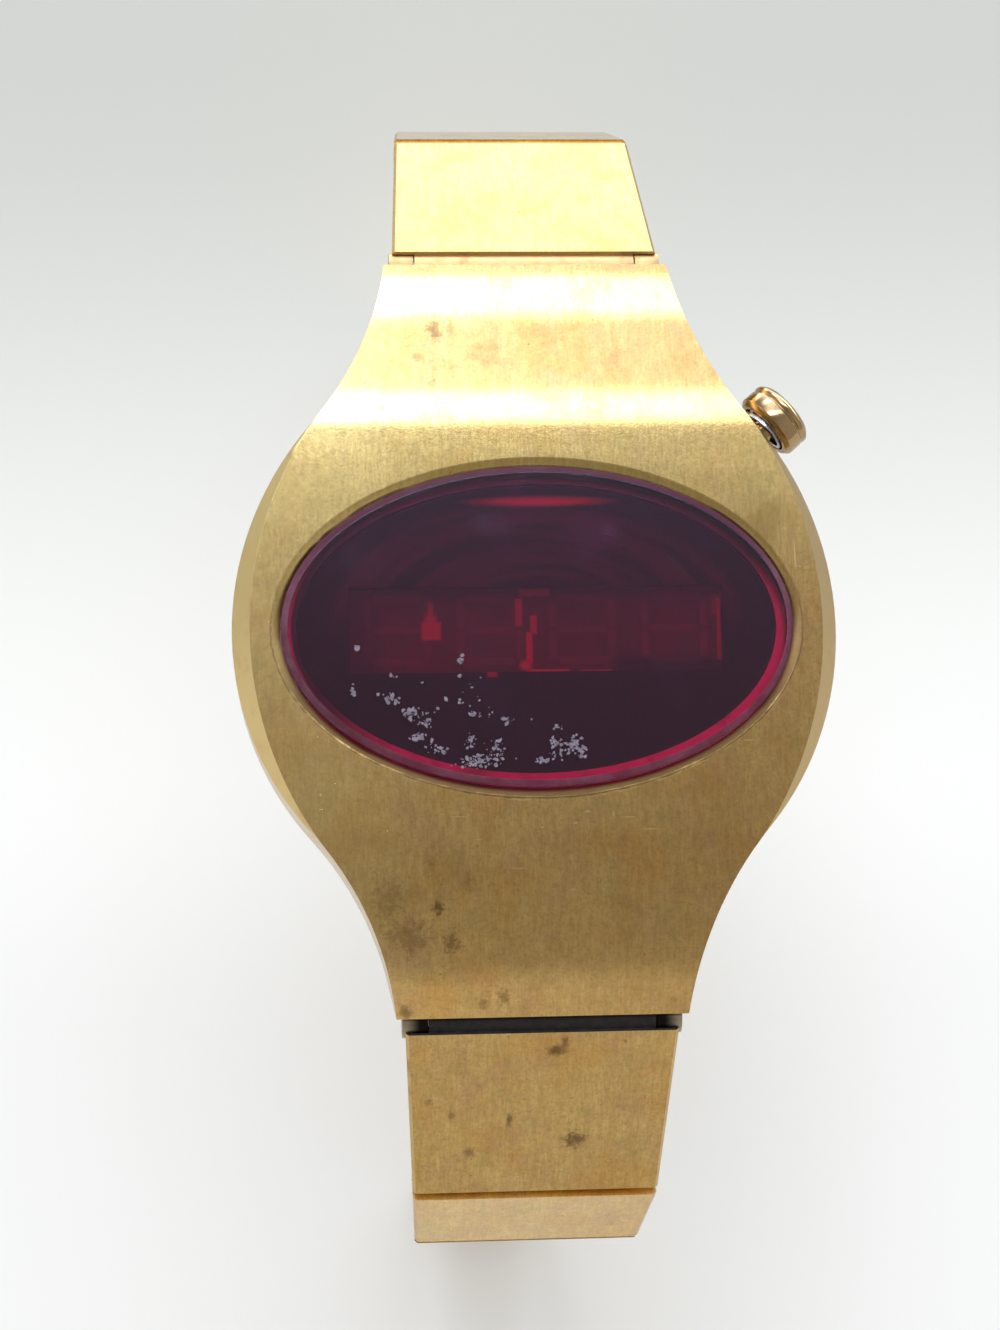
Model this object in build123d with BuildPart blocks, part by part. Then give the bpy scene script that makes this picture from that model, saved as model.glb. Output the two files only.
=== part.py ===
from build123d import *
from math import atan2, cos, degrees, hypot, radians, sin, sqrt, tan
import os

# LED wristwatch: a one-piece flared case with an oval red lens, one push-button and a
# tapered link bracelet that ends in a ladder clasp. All lengths are in millimetres.
# The face looks along +Z, 12 o'clock is +Y and 3 o'clock is +X. The origin is the centre
# of the case back's outer face. The bracelet is undone and hangs down from the case.

os.makedirs("parts", exist_ok=True)

overrun = 1.0  # how far a cutter runs past the face that it cuts
slide_fit = 0.04  # radial clearance of a pin in a bore that turns on it
seat_gap = 0.05  # clearance of a piece that drops into a pocket

# Case in plan: a circle that flares in through hollow flanks to the lugs
case_radius = 20.0
flank_radius = 22.0
lug_half_width = 9.6
lug_reach = 25.3

# Case from the side: flat round the lens, then curved down to the lugs
flat_reach = 13.2
lug_drop = 3.4
lug_face_tilt = 20.0  # the lug's end face leans back with the falling top
lug_face_relief = 12.0  # more lean below the pivot, room for the first link
lug_gap = 0.6  # from the lug's end face out to the pivot
bottom_chamfer = 0.5

# Polished bevel along both flanks
bevel_width = 1.2
bevel_depth = 1.8
bevel_reach = 14.6

# Case back, snapped in, with its sealing ring
back_margin = 2.4  # from the case's round outline in to the back's edge
back_radius = case_radius - back_margin
back_plate = 1.0
back_edge = 0.45
back_flange = 0.6
back_flange_width = 1.1
back_bore_radius = back_radius - back_flange_width
back_bore_depth = 1.5
snap_rim_wall = 0.7
pry_notch_width = 3.0
pry_notch_depth = 0.6
gasket_thickness = 0.15
gasket_width = 0.7

# Module stack, from the case back up to the lens
screw_head_height = 0.4
head_room = 0.2
strap_thickness = 0.25
cell_height = 3.6
board_thickness = 0.6
ledge_clearance = 0.15
ledge_thickness = 1.2
seal_thickness = 0.1
pocket_depth = 1.2
cavity_wall = 4.0  # from the case's round outline in to the module's bore
cavity_radius = case_radius - cavity_wall
frame_clearance = 0.6
frame_radius = cavity_radius - frame_clearance
board_inset = 0.2
board_radius = frame_radius - board_inset

# Lens and the oval opening that it sits in
lens_margin = 3.2  # from the case's round outline in to the lens
lens_half_length = case_radius - lens_margin
lens_half_height = 10.6
lens_thickness = 1.7
lens_chamfer = 0.45
ledge_width = 1.0
seal_width = 0.35
lip_width = 0.7
lip_depth = 0.3

# Display under the lens
window_margin = 4.45  # from the lens's end in to the window
window_length = 2 * (lens_half_length - window_margin)
window_height = 5.7
mask_thickness = 0.85
panel_thickness = 0.5
digit_count = 4
window_end_space = 0.15
digit_pitch = (window_length - 2 * window_end_space) / digit_count
digit_space = 1.7
digit_width = digit_pitch - digit_space
digit_height = 4.7
segment_width = 0.5
segment_gap = 0.12
segment_height = 0.15
colon_rise = 1.1

# Cells, their strap and the small parts on the board, as shares of the module's radius
cell_radius_share = 0.376
bay_length_share = 1.23
bay_height_share = 0.58
bay_offset_share = 0.4
bay_spacing_share = 0.415
cell_radius = cell_radius_share * frame_radius
cell_gap = 0.5
cell_step = 0.6
cell_spacing = 2 * cell_radius + cell_gap
cell_offset_share = 1.2
cell_offset = cell_offset_share * cell_radius
strap_length = cell_spacing + cell_offset
strap_width = 4.0
strap_tab_width = 3.0
strap_screw_margin = 0.4
strap_screw_reach = cell_radius - strap_screw_margin
screw_head_radius = 1.0
screw_radius = 0.55
screw_length = 2.0
screw_slot_width = 0.35
screw_slot_depth = 0.2
bay_length = bay_length_share * frame_radius
bay_height = bay_height_share * frame_radius
bay_offset = bay_offset_share * frame_radius
bay_spacing = bay_spacing_share * frame_radius
chip_side = 6.5
chip_height = 1.3
chip_edge = 0.6
crystal_radius = 1.0
crystal_length = 6.0
crystal_edge = 0.3
trimmer_radius = 1.6
trimmer_height = 1.5
trimmer_slot_width = 0.4
trimmer_slot_depth = 0.4

# Push-button at two o'clock
pusher_flank_clearance = 0.505  # degrees from the flank's start round to the pusher
pusher_height = 4.2
pusher_travel = 0.75
cap_reach = 3.3  # from the case's round outline out to the cap's face
cap_outer_face = case_radius + cap_reach
cap_length = 2.0
cap_radius = 2.4
cap_wall = 0.6
cap_edge = 0.3
cap_groove_depth = 0.12
cap_groove_width = 0.25
stem_radius = 0.8
stem_inset = 0.5  # the stem's end stands this far into the module's bore
stem_end = cavity_radius - stem_inset
tube_radius = 1.3
tube_inset = 0.4
tube_start = cavity_radius + tube_inset
tube_proud = 0.5
tube_end = case_radius + tube_proud
tube_recess_radius = 1.1
tube_recess_length = 1.6
ring_wire = 0.22
clip_radius = 1.15
clip_thickness = 0.25
clip_groove_depth = 0.2
spring_wire = 0.12
spring_radius = 1.53
spring_turns = 3
leaf_thickness = 0.15
leaf_width = 2.4
leaf_height = 2.2
leaf_gap = 0.1

# Bracelet: a long first link on each side, then equal links to the clasp
first_link_length = 14.0
link_length = 9.0
links_per_side = 5
band_width = 18.0
clasp_width = 13.4
link_above = 1.4  # from the pivots up to a link's outer face
link_below = 1.2
edge_gap = 0.08  # from a pivot to the square end edge beside it
knuckle_radius = 0.85
knuckle_clearance = 0.07
ear_width = 1.5
ear_clearance = 0.08
pin_radius = 0.5
pin_inset = 0.15
edge_chamfer = 0.2
back_groove_depth = 0.45
back_groove_margin = 2.2

# Spring bars in the lugs
lug_knuckle_radius = 1.1
lug_cavity_half = 7.55
lug_knuckle_reach = 9.2
bar_radius = 0.75
bar_tip_radius = 0.4
bar_tip_length = 0.9

# Hanging pose, as angles below level of the first link and of the next ones
first_link_angle = 40.0
link_stop = 28.0

# Ladder clasp: a tray with a flap on one side and a slotted plate on the other
clasp_length = 21.0
clasp_wall = 0.6
clasp_floor = 0.5
clasp_wall_top = 0.7
clasp_block_length = 1.7
clasp_lip_width = 0.9
clasp_lip_height = 0.3
clasp_lip_length = 9.0
flap_thickness = 0.6
flap_hinge_reach = 3.5
flap_start = 3.3
flap_shoulder = 4.8  # the flap is narrow up to here, to swing down between the walls
flap_overhang = 0.6
flap_ear_radius = 0.65
flap_neck_width = 0.9
flap_pin_radius = 0.4
flap_tooth_height = 0.7
flap_tooth_width = 4.6
flap_tooth_length = 0.9
ladder_length = 26.0
ladder_width = 9.6
ladder_thickness = 0.8
ladder_tip_width = 11.4
ladder_tip_length = 1.6
rung_count = 6
rung_pitch = 3.2
rung_slot_length = 6.2
rung_slot_width = 1.5
rung_first = 5.5

# Heights of the stack, worked out from the back up
case_bottom = back_edge + back_flange + gasket_thickness
strap_bottom = back_plate + head_room + screw_head_height
cell_bottom = strap_bottom + strap_thickness
board_bottom = cell_bottom + cell_height
board_top = board_bottom + board_thickness
ledge_bottom = board_top + ledge_clearance
ledge_top = ledge_bottom + ledge_thickness
lens_bottom = ledge_top + seal_thickness
case_top = ledge_top + pocket_depth
lug_edge_height = case_top - lug_drop

# Centre of the hollow flank's arc, tangent to the round and through the lug's corner
corner_reach = hypot(lug_half_width, lug_reach)
centre_reach = case_radius + flank_radius
along = (centre_reach**2 - flank_radius**2 + corner_reach**2) / (2 * corner_reach)
aside = sqrt(centre_reach**2 - along**2)
flank_x = (along * lug_half_width + aside * lug_reach) / corner_reach
flank_y = (along * lug_reach - aside * lug_half_width) / corner_reach
flank_angle = degrees(atan2(flank_y, flank_x))
pusher_angle = flank_angle - pusher_flank_clearance
corner_angle = degrees(atan2(lug_reach - flank_y, lug_half_width - flank_x)) % 360

# Lug pivot, behind the lug's top edge and below it, in the YZ plane
tilt = radians(lug_face_tilt)


def lug_point(outward, up):
    """A point from the lug's pivot, along the leaning end face and across it."""
    return (
        lug_pivot_y + outward * cos(tilt) + up * sin(tilt),
        lug_pivot_z - outward * sin(tilt) + up * cos(tilt),
    )


lug_pivot_y = lug_reach + lug_gap * cos(tilt) - link_above * sin(tilt)
lug_pivot_z = lug_edge_height - lug_gap * sin(tilt) - link_above * cos(tilt)
lug_face_mid = lug_point(-lug_gap, 0)
lug_toe_lean = tan(radians(lug_face_tilt + lug_face_relief))
lug_toe_y = lug_face_mid[0] - (lug_face_mid[1] - case_bottom) * lug_toe_lean

# The two sides of the watch, seen from the side: sketch x runs out to the lugs
twelve_side = Plane(origin=(0, 0, 0), x_dir=(0, 1, 0), z_dir=(1, 0, 0))
six_side = Plane(origin=(0, 0, 0), x_dir=(0, -1, 0), z_dir=(-1, 0, 0))

# Bevel cutter: a turned wedge whose inner edge fades out of the outline near the lugs
fade_x = flank_x - sqrt(flank_radius**2 - (bevel_reach - flank_y) ** 2)
bevel_inner_x = case_radius - bevel_width
bevel_rise = bevel_inner_x - fade_x
bevel_radius = (bevel_reach**2 + bevel_rise**2) / (2 * bevel_rise)
bevel_centre_x = bevel_inner_x - bevel_radius
wedge_top = case_top + overrun
wedge_slope = bevel_width / bevel_depth

with BuildPart() as bevel_cutter:
    with BuildSketch(Plane.XZ):
        with BuildLine():
            Polyline(
                (bevel_inner_x - overrun * wedge_slope, wedge_top),
                (bevel_inner_x + (bevel_depth + overrun) * wedge_slope, case_top - bevel_depth - overrun),
                (case_radius + bevel_depth, case_top - bevel_depth - overrun),
                (case_radius + bevel_depth, wedge_top),
                close=True,
            )
        make_face()
    revolve(axis=Axis((bevel_centre_x, 0, 0), (0, 0, 1)))
    with BuildSketch():
        with Locations((case_radius, 0)):
            Rectangle(2 * case_radius, 2 * bevel_reach)
    extrude(amount=wedge_top, mode=Mode.INTERSECT)
    mirror(about=Plane.YZ)

# One-piece case with its lugs, module bore, lens seat and strap pockets
with BuildPart() as case_body:
    with BuildSketch(Plane.YZ):
        with BuildLine():
            Line((0, case_top), (flat_reach, case_top))
            TangentArc((flat_reach, case_top), (lug_reach, lug_edge_height), tangent=(1, 0))
            Polyline((lug_reach, lug_edge_height), lug_face_mid, (lug_toe_y, case_bottom), (0, case_bottom))
            mirror(about=Plane.YZ)
        make_face()
    extrude(amount=case_radius + overrun, both=True)
    with BuildSketch():
        with BuildLine():
            CenterArc((0, 0), case_radius, 0, flank_angle)
            CenterArc((flank_x, flank_y), flank_radius, 180 + flank_angle, corner_angle - 180 - flank_angle)
            Line((lug_half_width, lug_reach), (0, lug_reach))
            mirror(about=Plane.YZ)
            mirror(about=Plane.XZ)
        make_face()
    extrude(amount=case_top + overrun, mode=Mode.INTERSECT)
    chamfer(case_body.faces().sort_by(Axis.Z)[0].outer_wire().edges(), bottom_chamfer)
    add(bevel_cutter.part, mode=Mode.SUBTRACT)
    for side in (twelve_side, six_side):
        with BuildSketch(side):
            with Locations((lug_pivot_y, lug_pivot_z)):
                Circle(lug_knuckle_radius)
        extrude(amount=lug_knuckle_reach, both=True)
        bar_room_radius = lug_knuckle_radius + knuckle_clearance
        cavity_drop = lug_pivot_z + overrun
        with BuildSketch(side):
            with Locations((lug_pivot_y, lug_pivot_z)):
                Circle(bar_room_radius)
            with BuildLine():
                Polyline(
                    lug_point(-bar_room_radius, 0),
                    lug_point(lug_reach - lug_toe_y, 0),
                    lug_point(lug_reach - lug_toe_y, -cavity_drop),
                    lug_point(-bar_room_radius, -cavity_drop),
                    close=True,
                )
            make_face()
        extrude(amount=lug_cavity_half, both=True, mode=Mode.SUBTRACT)
        with BuildSketch(side):
            with Locations((lug_pivot_y, lug_pivot_z)):
                Circle(bar_tip_radius + seat_gap)
        extrude(amount=lug_cavity_half + bar_tip_length + seat_gap, both=True, mode=Mode.SUBTRACT)
    with BuildSketch(Plane.XY.offset(case_bottom)):
        Circle(cavity_radius)
    extrude(amount=ledge_bottom - case_bottom, mode=Mode.SUBTRACT)
    with BuildSketch(Plane.XY.offset(case_bottom)):
        Circle(back_bore_radius)
    extrude(amount=back_bore_depth, mode=Mode.SUBTRACT)
    with BuildSketch(Plane.XY.offset(ledge_bottom)):
        Ellipse(lens_half_length - ledge_width, lens_half_height - ledge_width)
    extrude(amount=ledge_thickness, mode=Mode.SUBTRACT)
    with BuildSketch(Plane.XY.offset(ledge_top)):
        Ellipse(lens_half_length + seat_gap, lens_half_height + seat_gap)
    extrude(amount=pocket_depth, mode=Mode.SUBTRACT)
    with BuildSketch(Plane.XY.offset(case_top - lip_depth)):
        Ellipse(lens_half_length + seat_gap, lens_half_height + seat_gap)
    with BuildSketch(Plane.XY.offset(case_top)):
        Ellipse(lens_half_length + lip_width, lens_half_height + lip_width)
    loft(mode=Mode.SUBTRACT)
    pusher_direction = Vector(cos(radians(pusher_angle)), sin(radians(pusher_angle)), 0)
    pusher_plane = Plane(
        origin=(0, 0, pusher_height),
        x_dir=pusher_direction,
        z_dir=pusher_direction.cross(Vector(0, 0, 1)),
    )
    pusher_axis = Axis((0, 0, pusher_height), pusher_direction)
    with BuildSketch(Plane(origin=(0, 0, pusher_height), z_dir=pusher_direction).offset(cavity_radius - overrun)):
        Circle(tube_radius)
    extrude(amount=case_radius, mode=Mode.SUBTRACT)
case_body.part.label = "case_body"
export_step(case_body.part, "parts/case_body.step")

# Lens: flat red oval with a chamfered edge that stands proud of the case
with BuildPart() as lens:
    with BuildSketch(Plane.XY.offset(lens_bottom)):
        Ellipse(lens_half_length, lens_half_height)
    extrude(amount=lens_thickness)
    chamfer(lens.faces().sort_by(Axis.Z)[-1].edges(), lens_chamfer)
lens.part.label = "lens"
export_step(lens.part, "parts/lens.step")

# Lens seal: a flat ring bonded on the outer part of the ledge
with BuildPart() as lens_seal:
    with BuildSketch(Plane.XY.offset(ledge_top)):
        Ellipse(lens_half_length, lens_half_height)
        Ellipse(lens_half_length - seal_width, lens_half_height - seal_width, mode=Mode.SUBTRACT)
    extrude(amount=seal_thickness)
lens_seal.part.label = "lens_seal"
export_step(lens_seal.part, "parts/lens_seal.step")

# Case back: a turned snap-on disc with a chamfered edge, a snap rim and a pry notch
back_flange_top = back_edge + back_flange
rim_outer = back_bore_radius - seat_gap
rim_inner = rim_outer - snap_rim_wall
with BuildPart() as case_back:
    with BuildSketch(Plane.XZ):
        with BuildLine():
            Polyline(
                (0, 0),
                (back_radius - 2 * back_edge, 0),
                (back_radius, back_edge),
                (back_radius, back_flange_top),
                (rim_outer, back_flange_top),
                (rim_outer, case_bottom + back_bore_depth - seat_gap),
                (rim_inner, case_bottom + back_bore_depth - seat_gap),
                (rim_inner, back_plate),
                (0, back_plate),
                close=True,
            )
        make_face()
    revolve(axis=Axis.Z)
    with BuildSketch():
        with Locations((0, -back_radius)):
            Rectangle(pry_notch_width, 2 * pry_notch_depth)
    extrude(amount=back_flange_top, mode=Mode.SUBTRACT)
case_back.part.label = "case_back"
export_step(case_back.part, "parts/case_back.step")

# Back gasket: a thin ring between the case back's flange and the case
with BuildPart() as back_gasket:
    with BuildSketch(Plane.XY.offset(back_flange_top)):
        Circle(back_bore_radius + gasket_width)
        Circle(back_bore_radius, mode=Mode.SUBTRACT)
    extrude(amount=gasket_thickness)
back_gasket.part.label = "back_gasket"
export_step(back_gasket.part, "parts/back_gasket.step")

# Module frame: a moulded disc with wells for the cells and a bay for the small parts
cell_places = ((-cell_spacing / 2, -cell_offset), (cell_spacing / 2, -cell_offset))
screw_places = (
    (0, -cell_offset + strap_screw_reach),
    (0, -cell_offset - strap_screw_reach),
)
with BuildPart() as module_frame:
    with BuildSketch(Plane.XY.offset(cell_bottom)):
        Circle(frame_radius)
        with Locations(*cell_places):
            Circle(cell_radius + seat_gap, mode=Mode.SUBTRACT)
        with Locations((0, bay_offset)):
            Rectangle(bay_length, bay_height, mode=Mode.SUBTRACT)
        with Locations(*screw_places):
            Circle(screw_radius, mode=Mode.SUBTRACT)
        with PolarLocations(frame_radius, 1, start_angle=pusher_angle):
            Rectangle(2 * (frame_radius - stem_end + pusher_travel + overrun), 2 * tube_radius + overrun,
                      mode=Mode.SUBTRACT)
    extrude(amount=cell_height)
module_frame.part.label = "module_frame"
export_step(module_frame.part, "parts/module_frame.step")

# Circuit board: a disc that carries the display above and the small parts below
with BuildPart() as circuit_board:
    with BuildSketch(Plane.XY.offset(board_bottom)):
        Circle(board_radius)
    extrude(amount=board_thickness)
circuit_board.part.label = "circuit_board"
export_step(circuit_board.part, "parts/circuit_board.step")

# Two button cells side by side, each with a stepped can
for name, place in zip(("cell_left", "cell_right"), cell_places):
    with BuildPart() as cell:
        with BuildSketch(Plane.XY.offset(cell_bottom)):
            with Locations(place):
                Circle(cell_radius)
        extrude(amount=cell_height - strap_thickness)
        with BuildSketch(Plane.XY.offset(board_bottom - strap_thickness)):
            with Locations(place):
                Circle(cell_radius - cell_step)
        extrude(amount=strap_thickness)
    cell.part.label = name
    export_step(cell.part, f"parts/{name}.step")

# Cell strap: a spring strip across both cells with a screwed tab on each side
with BuildPart() as cell_strap:
    with BuildSketch(Plane.XY.offset(strap_bottom)):
        with Locations((0, -cell_offset)):
            Rectangle(strap_length, strap_width)
            Rectangle(strap_tab_width, 2 * (strap_screw_reach + screw_head_radius))
        with Locations(*screw_places):
            Circle(screw_radius, mode=Mode.SUBTRACT)
    extrude(amount=strap_thickness)
cell_strap.part.label = "cell_strap"
export_step(cell_strap.part, "parts/cell_strap.step")

# Strap screws: slotted cheese heads, two alike
with BuildPart() as strap_screws:
    with BuildSketch(Plane.XY.offset(strap_bottom - screw_head_height)):
        with Locations(*screw_places):
            Circle(screw_head_radius)
    extrude(amount=screw_head_height)
    with BuildSketch(Plane.XY.offset(strap_bottom)):
        with Locations(*screw_places):
            Circle(screw_radius)
    extrude(amount=screw_length)
    with BuildSketch(Plane.XY.offset(strap_bottom - screw_head_height)):
        with Locations(*screw_places):
            Rectangle(2 * screw_head_radius, screw_slot_width)
    extrude(amount=screw_slot_depth, mode=Mode.SUBTRACT)
strap_screws.part.label = "strap_screws"
export_step(strap_screws.part, "parts/strap_screws.step")

# Logic chip under a drop of resin, on the underside of the board
with BuildPart() as logic_chip:
    with BuildSketch(Plane.XY.offset(board_bottom)):
        with Locations((0, bay_offset)):
            Rectangle(chip_side, chip_side)
    extrude(amount=-chip_height)
    chamfer(logic_chip.faces().sort_by(Axis.Z)[0].edges(), chip_edge)
logic_chip.part.label = "logic_chip"
export_step(logic_chip.part, "parts/logic_chip.step")

# Quartz crystal in its tubular can, laid along the board
with BuildPart() as quartz_crystal:
    with BuildSketch(Plane.XZ.offset(-bay_offset + crystal_length / 2)):
        with Locations((-bay_spacing, board_bottom - crystal_radius)):
            Circle(crystal_radius)
    extrude(amount=-crystal_length)
    chamfer(quartz_crystal.faces().sort_by(Axis.Y)[-1].edges(), crystal_edge)
quartz_crystal.part.label = "quartz_crystal"
export_step(quartz_crystal.part, "parts/quartz_crystal.step")

# Trimmer capacitor with a slotted rotor
with BuildPart() as trimmer:
    with BuildSketch(Plane.XY.offset(board_bottom)):
        with Locations((bay_spacing, bay_offset)):
            Rectangle(2 * trimmer_radius, 2 * trimmer_radius)
    extrude(amount=-trimmer_height / 2)
    with BuildSketch(Plane.XY.offset(board_bottom - trimmer_height / 2)):
        with Locations((bay_spacing, bay_offset)):
            Circle(trimmer_radius)
    extrude(amount=-trimmer_height / 2)
    with BuildSketch(Plane.XY.offset(board_bottom - trimmer_height)):
        with Locations((bay_spacing, bay_offset)):
            Rectangle(2 * trimmer_radius, trimmer_slot_width)
    extrude(amount=trimmer_slot_depth, mode=Mode.SUBTRACT)
trimmer.part.label = "trimmer"
export_step(trimmer.part, "parts/trimmer.step")

# Display mask: a black oval plate under the lens with a window for the digits
with BuildPart() as display_mask:
    with BuildSketch(Plane.XY.offset(board_top)):
        Ellipse(lens_half_length - ledge_width - seat_gap, lens_half_height - ledge_width - seat_gap)
        Rectangle(window_length, window_height, mode=Mode.SUBTRACT)
    extrude(amount=mask_thickness)
display_mask.part.label = "display_mask"
export_step(display_mask.part, "parts/display_mask.step")


def segment_places():
    """Centres and turns of the light bars: seven to a digit, and the two colon dots."""
    side_x = digit_width / 2 - segment_width / 2
    bar_y = digit_height / 2 - segment_width / 2
    for column in range(digit_count):
        x = (column - (digit_count - 1) / 2) * digit_pitch
        for y in (-bar_y, 0, bar_y):
            yield (x, y), "flat"
        for dx in (-side_x, side_x):
            for y in (-bar_y / 2, bar_y / 2):
                yield (x + dx, y), "upright"
    for y in (-colon_rise, colon_rise):
        yield (0, y), "dot"


flat_length = digit_width - 2 * segment_width - 2 * segment_gap
upright_length = digit_height / 2 - segment_width / 2 - 2 * segment_gap
segment_shapes = {
    "flat": (flat_length, segment_width),
    "upright": (segment_width, upright_length),
    "dot": (segment_width, segment_width),
}

# Display panel: the digit block, recessed where each light bar sits
with BuildPart() as display_panel:
    with BuildSketch(Plane.XY.offset(board_top)):
        Rectangle(window_length - 2 * seat_gap, window_height - 2 * seat_gap)
    extrude(amount=panel_thickness)
    with BuildSketch(Plane.XY.offset(board_top + panel_thickness - segment_height)):
        for place, kind in segment_places():
            with Locations(place):
                Rectangle(*segment_shapes[kind])
    extrude(amount=segment_height, mode=Mode.SUBTRACT)
display_panel.part.label = "display_panel"
export_step(display_panel.part, "parts/display_panel.step")

# Digit segments: the light bars, alike and flush with the panel
with BuildPart() as digit_segments:
    with BuildSketch(Plane.XY.offset(board_top + panel_thickness - segment_height)):
        for place, kind in segment_places():
            with Locations(place):
                Rectangle(*segment_shapes[kind])
    extrude(amount=segment_height)
digit_segments.part.label = "digit_segments"
export_step(digit_segments.part, "parts/digit_segments.step")

# Pusher tube: pressed into the case wall, recessed at its mouth for the sealing ring
stem_bore = stem_radius + slide_fit
recess_start = tube_end - tube_recess_length
with BuildPart() as pusher_tube:
    with BuildSketch(pusher_plane):
        with BuildLine():
            Polyline(
                (tube_start, stem_bore),
                (tube_start, tube_radius),
                (tube_end, tube_radius),
                (tube_end, tube_recess_radius),
                (recess_start, tube_recess_radius),
                (recess_start, stem_bore),
                close=True,
            )
        make_face()
    revolve(axis=pusher_axis)
pusher_tube.part.label = "pusher_tube"
export_step(pusher_tube.part, "parts/pusher_tube.step")

# Pusher: a hollow cap with a turned groove, on a stem with grooves for ring and clip
cap_inner_face = cap_outer_face - cap_length
cap_floor = cap_outer_face - cap_wall
ring_half = ring_wire + seat_gap
ring_centre = recess_start + pusher_travel + ring_half + seat_gap
ring_floor = tube_recess_radius - slide_fit - 2 * ring_wire
clip_floor = stem_radius - clip_groove_depth
clip_outer = tube_start - seat_gap
clip_inner = clip_outer - clip_thickness
groove_start = cap_outer_face - cap_edge - 2 * cap_groove_width
with BuildPart() as pusher:
    with BuildSketch(pusher_plane):
        with BuildLine():
            Polyline(
                (stem_end, 0),
                (stem_end, stem_radius),
                (clip_inner - seat_gap, stem_radius),
                (clip_inner - seat_gap, clip_floor),
                (clip_outer + seat_gap, clip_floor),
                (clip_outer + seat_gap, stem_radius),
                (ring_centre - ring_half, stem_radius),
                (ring_centre - ring_half, ring_floor - seat_gap),
                (ring_centre + ring_half, ring_floor - seat_gap),
                (ring_centre + ring_half, stem_radius),
                (cap_floor, stem_radius),
                (cap_floor, cap_radius - cap_wall),
                (cap_inner_face, cap_radius - cap_wall),
                (cap_inner_face, cap_radius - cap_edge),
                (cap_inner_face + cap_edge, cap_radius),
                (groove_start, cap_radius),
                (groove_start + cap_groove_width / 2, cap_radius - cap_groove_depth),
                (groove_start + cap_groove_width, cap_radius),
                (cap_outer_face - cap_edge, cap_radius),
                (cap_outer_face, cap_radius - cap_edge),
                (cap_outer_face, 0),
                close=True,
            )
        make_face()
    revolve(axis=pusher_axis)
pusher.part.label = "pusher"
export_step(pusher.part, "parts/pusher.step")

# Pusher ring: the square-cut rubber seal in the stem's groove
with BuildPart() as pusher_ring:
    with BuildSketch(pusher_plane):
        with Locations((ring_centre, ring_floor + ring_wire)):
            Rectangle(2 * ring_wire, 2 * ring_wire)
    revolve(axis=pusher_axis)
pusher_ring.part.label = "pusher_ring"
export_step(pusher_ring.part, "parts/pusher_ring.step")

# Pusher clip: a snap ring inside the case that stops the stem
clip_plane = Plane(origin=(0, 0, pusher_height), x_dir=(0, 0, 1), z_dir=pusher_direction)
with BuildPart() as pusher_clip:
    with BuildSketch(clip_plane.offset(clip_inner)):
        Circle(clip_radius)
        Circle(clip_floor, mode=Mode.SUBTRACT)
        with Locations((clip_radius, 0)):
            Rectangle(2 * clip_radius, clip_radius, mode=Mode.SUBTRACT)
    extrude(amount=clip_thickness)
pusher_clip.part.label = "pusher_clip"
export_step(pusher_clip.part, "parts/pusher_clip.step")

# Return spring: a coil of square wire round the tube, from the case wall to the cap
spring_low = case_radius + 2 * spring_wire
spring_high = cap_floor - spring_wire - seat_gap
spring_base = Plane(origin=(0, 0, pusher_height), x_dir=(0, 0, 1), z_dir=pusher_direction).offset(spring_low)
with BuildPart() as pusher_spring:
    with BuildLine(spring_base) as coil_path:
        Helix(
            pitch=(spring_high - spring_low) / spring_turns,
            height=spring_high - spring_low,
            radius=spring_radius,
            direction=pusher_direction,
        )
    with BuildSketch(Plane(origin=coil_path.line @ 0, x_dir=pusher_direction, z_dir=coil_path.line % 0)):
        Rectangle(2 * spring_wire, 2 * spring_wire)
    sweep(is_frenet=True)
pusher_spring.part.label = "pusher_spring"
export_step(pusher_spring.part, "parts/pusher_spring.step")

# Contact leaf: a spring strip under the board that the stem's end presses
leaf_face = stem_end - pusher_travel - leaf_gap
leaf_plane = Plane(origin=(0, 0, board_bottom), x_dir=(0, 0, 1), z_dir=pusher_direction)
with BuildPart() as contact_leaf:
    with BuildSketch(leaf_plane.offset(leaf_face - leaf_thickness)):
        with Locations((-leaf_height / 2, 0)):
            Rectangle(leaf_height, leaf_width)
    extrude(amount=leaf_thickness)
contact_leaf.part.label = "contact_leaf"
export_step(contact_leaf.part, "parts/contact_leaf.step")

# Bracelet chain. Each piece is drawn level, with its pivot at the origin, its length along
# +Y and its outer face up, and then placed on the plane of its pivot.
mitre = tan(radians(link_stop / 2)) * link_below
chain_lengths = [first_link_length] + [link_length] * (links_per_side - 1)
chain_angles = [first_link_angle, first_link_angle + link_stop] + [90.0] * (links_per_side - 1)


def band_width_at(distance):
    """Width of the tapered bracelet at a distance along it from the lugs."""
    return band_width - (band_width - clasp_width) * distance / sum(chain_lengths)


def chain_planes(toward):
    """Pivot planes from the lugs down, on the 12 o'clock side (1) or the 6 o'clock side (-1)."""
    y, z = lug_pivot_y, lug_pivot_z
    planes = []
    for length, angle in zip(chain_lengths + [0], chain_angles):
        lean = radians(angle)
        outward = Vector(0, toward * sin(lean), cos(lean))
        planes.append(Plane(origin=(0, toward * y, z), x_dir=(toward, 0, 0), z_dir=outward))
        y += length * cos(lean)
        z -= length * sin(lean)
    return planes


def inner_half(width):
    """Half the width between a link's ears."""
    return width / 2 - ear_width


def cut_near_knuckle(width, barrel_half, radius):
    """Room beside a piece's own barrel for the ears that hold it."""
    for face in (barrel_half, -width / 2 - overrun):
        with BuildSketch(Plane.YZ.offset(face)) as room:
            Circle(radius + knuckle_clearance)
        extrude(room.sketch, amount=width / 2 + overrun - barrel_half, mode=Mode.SUBTRACT)


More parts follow.
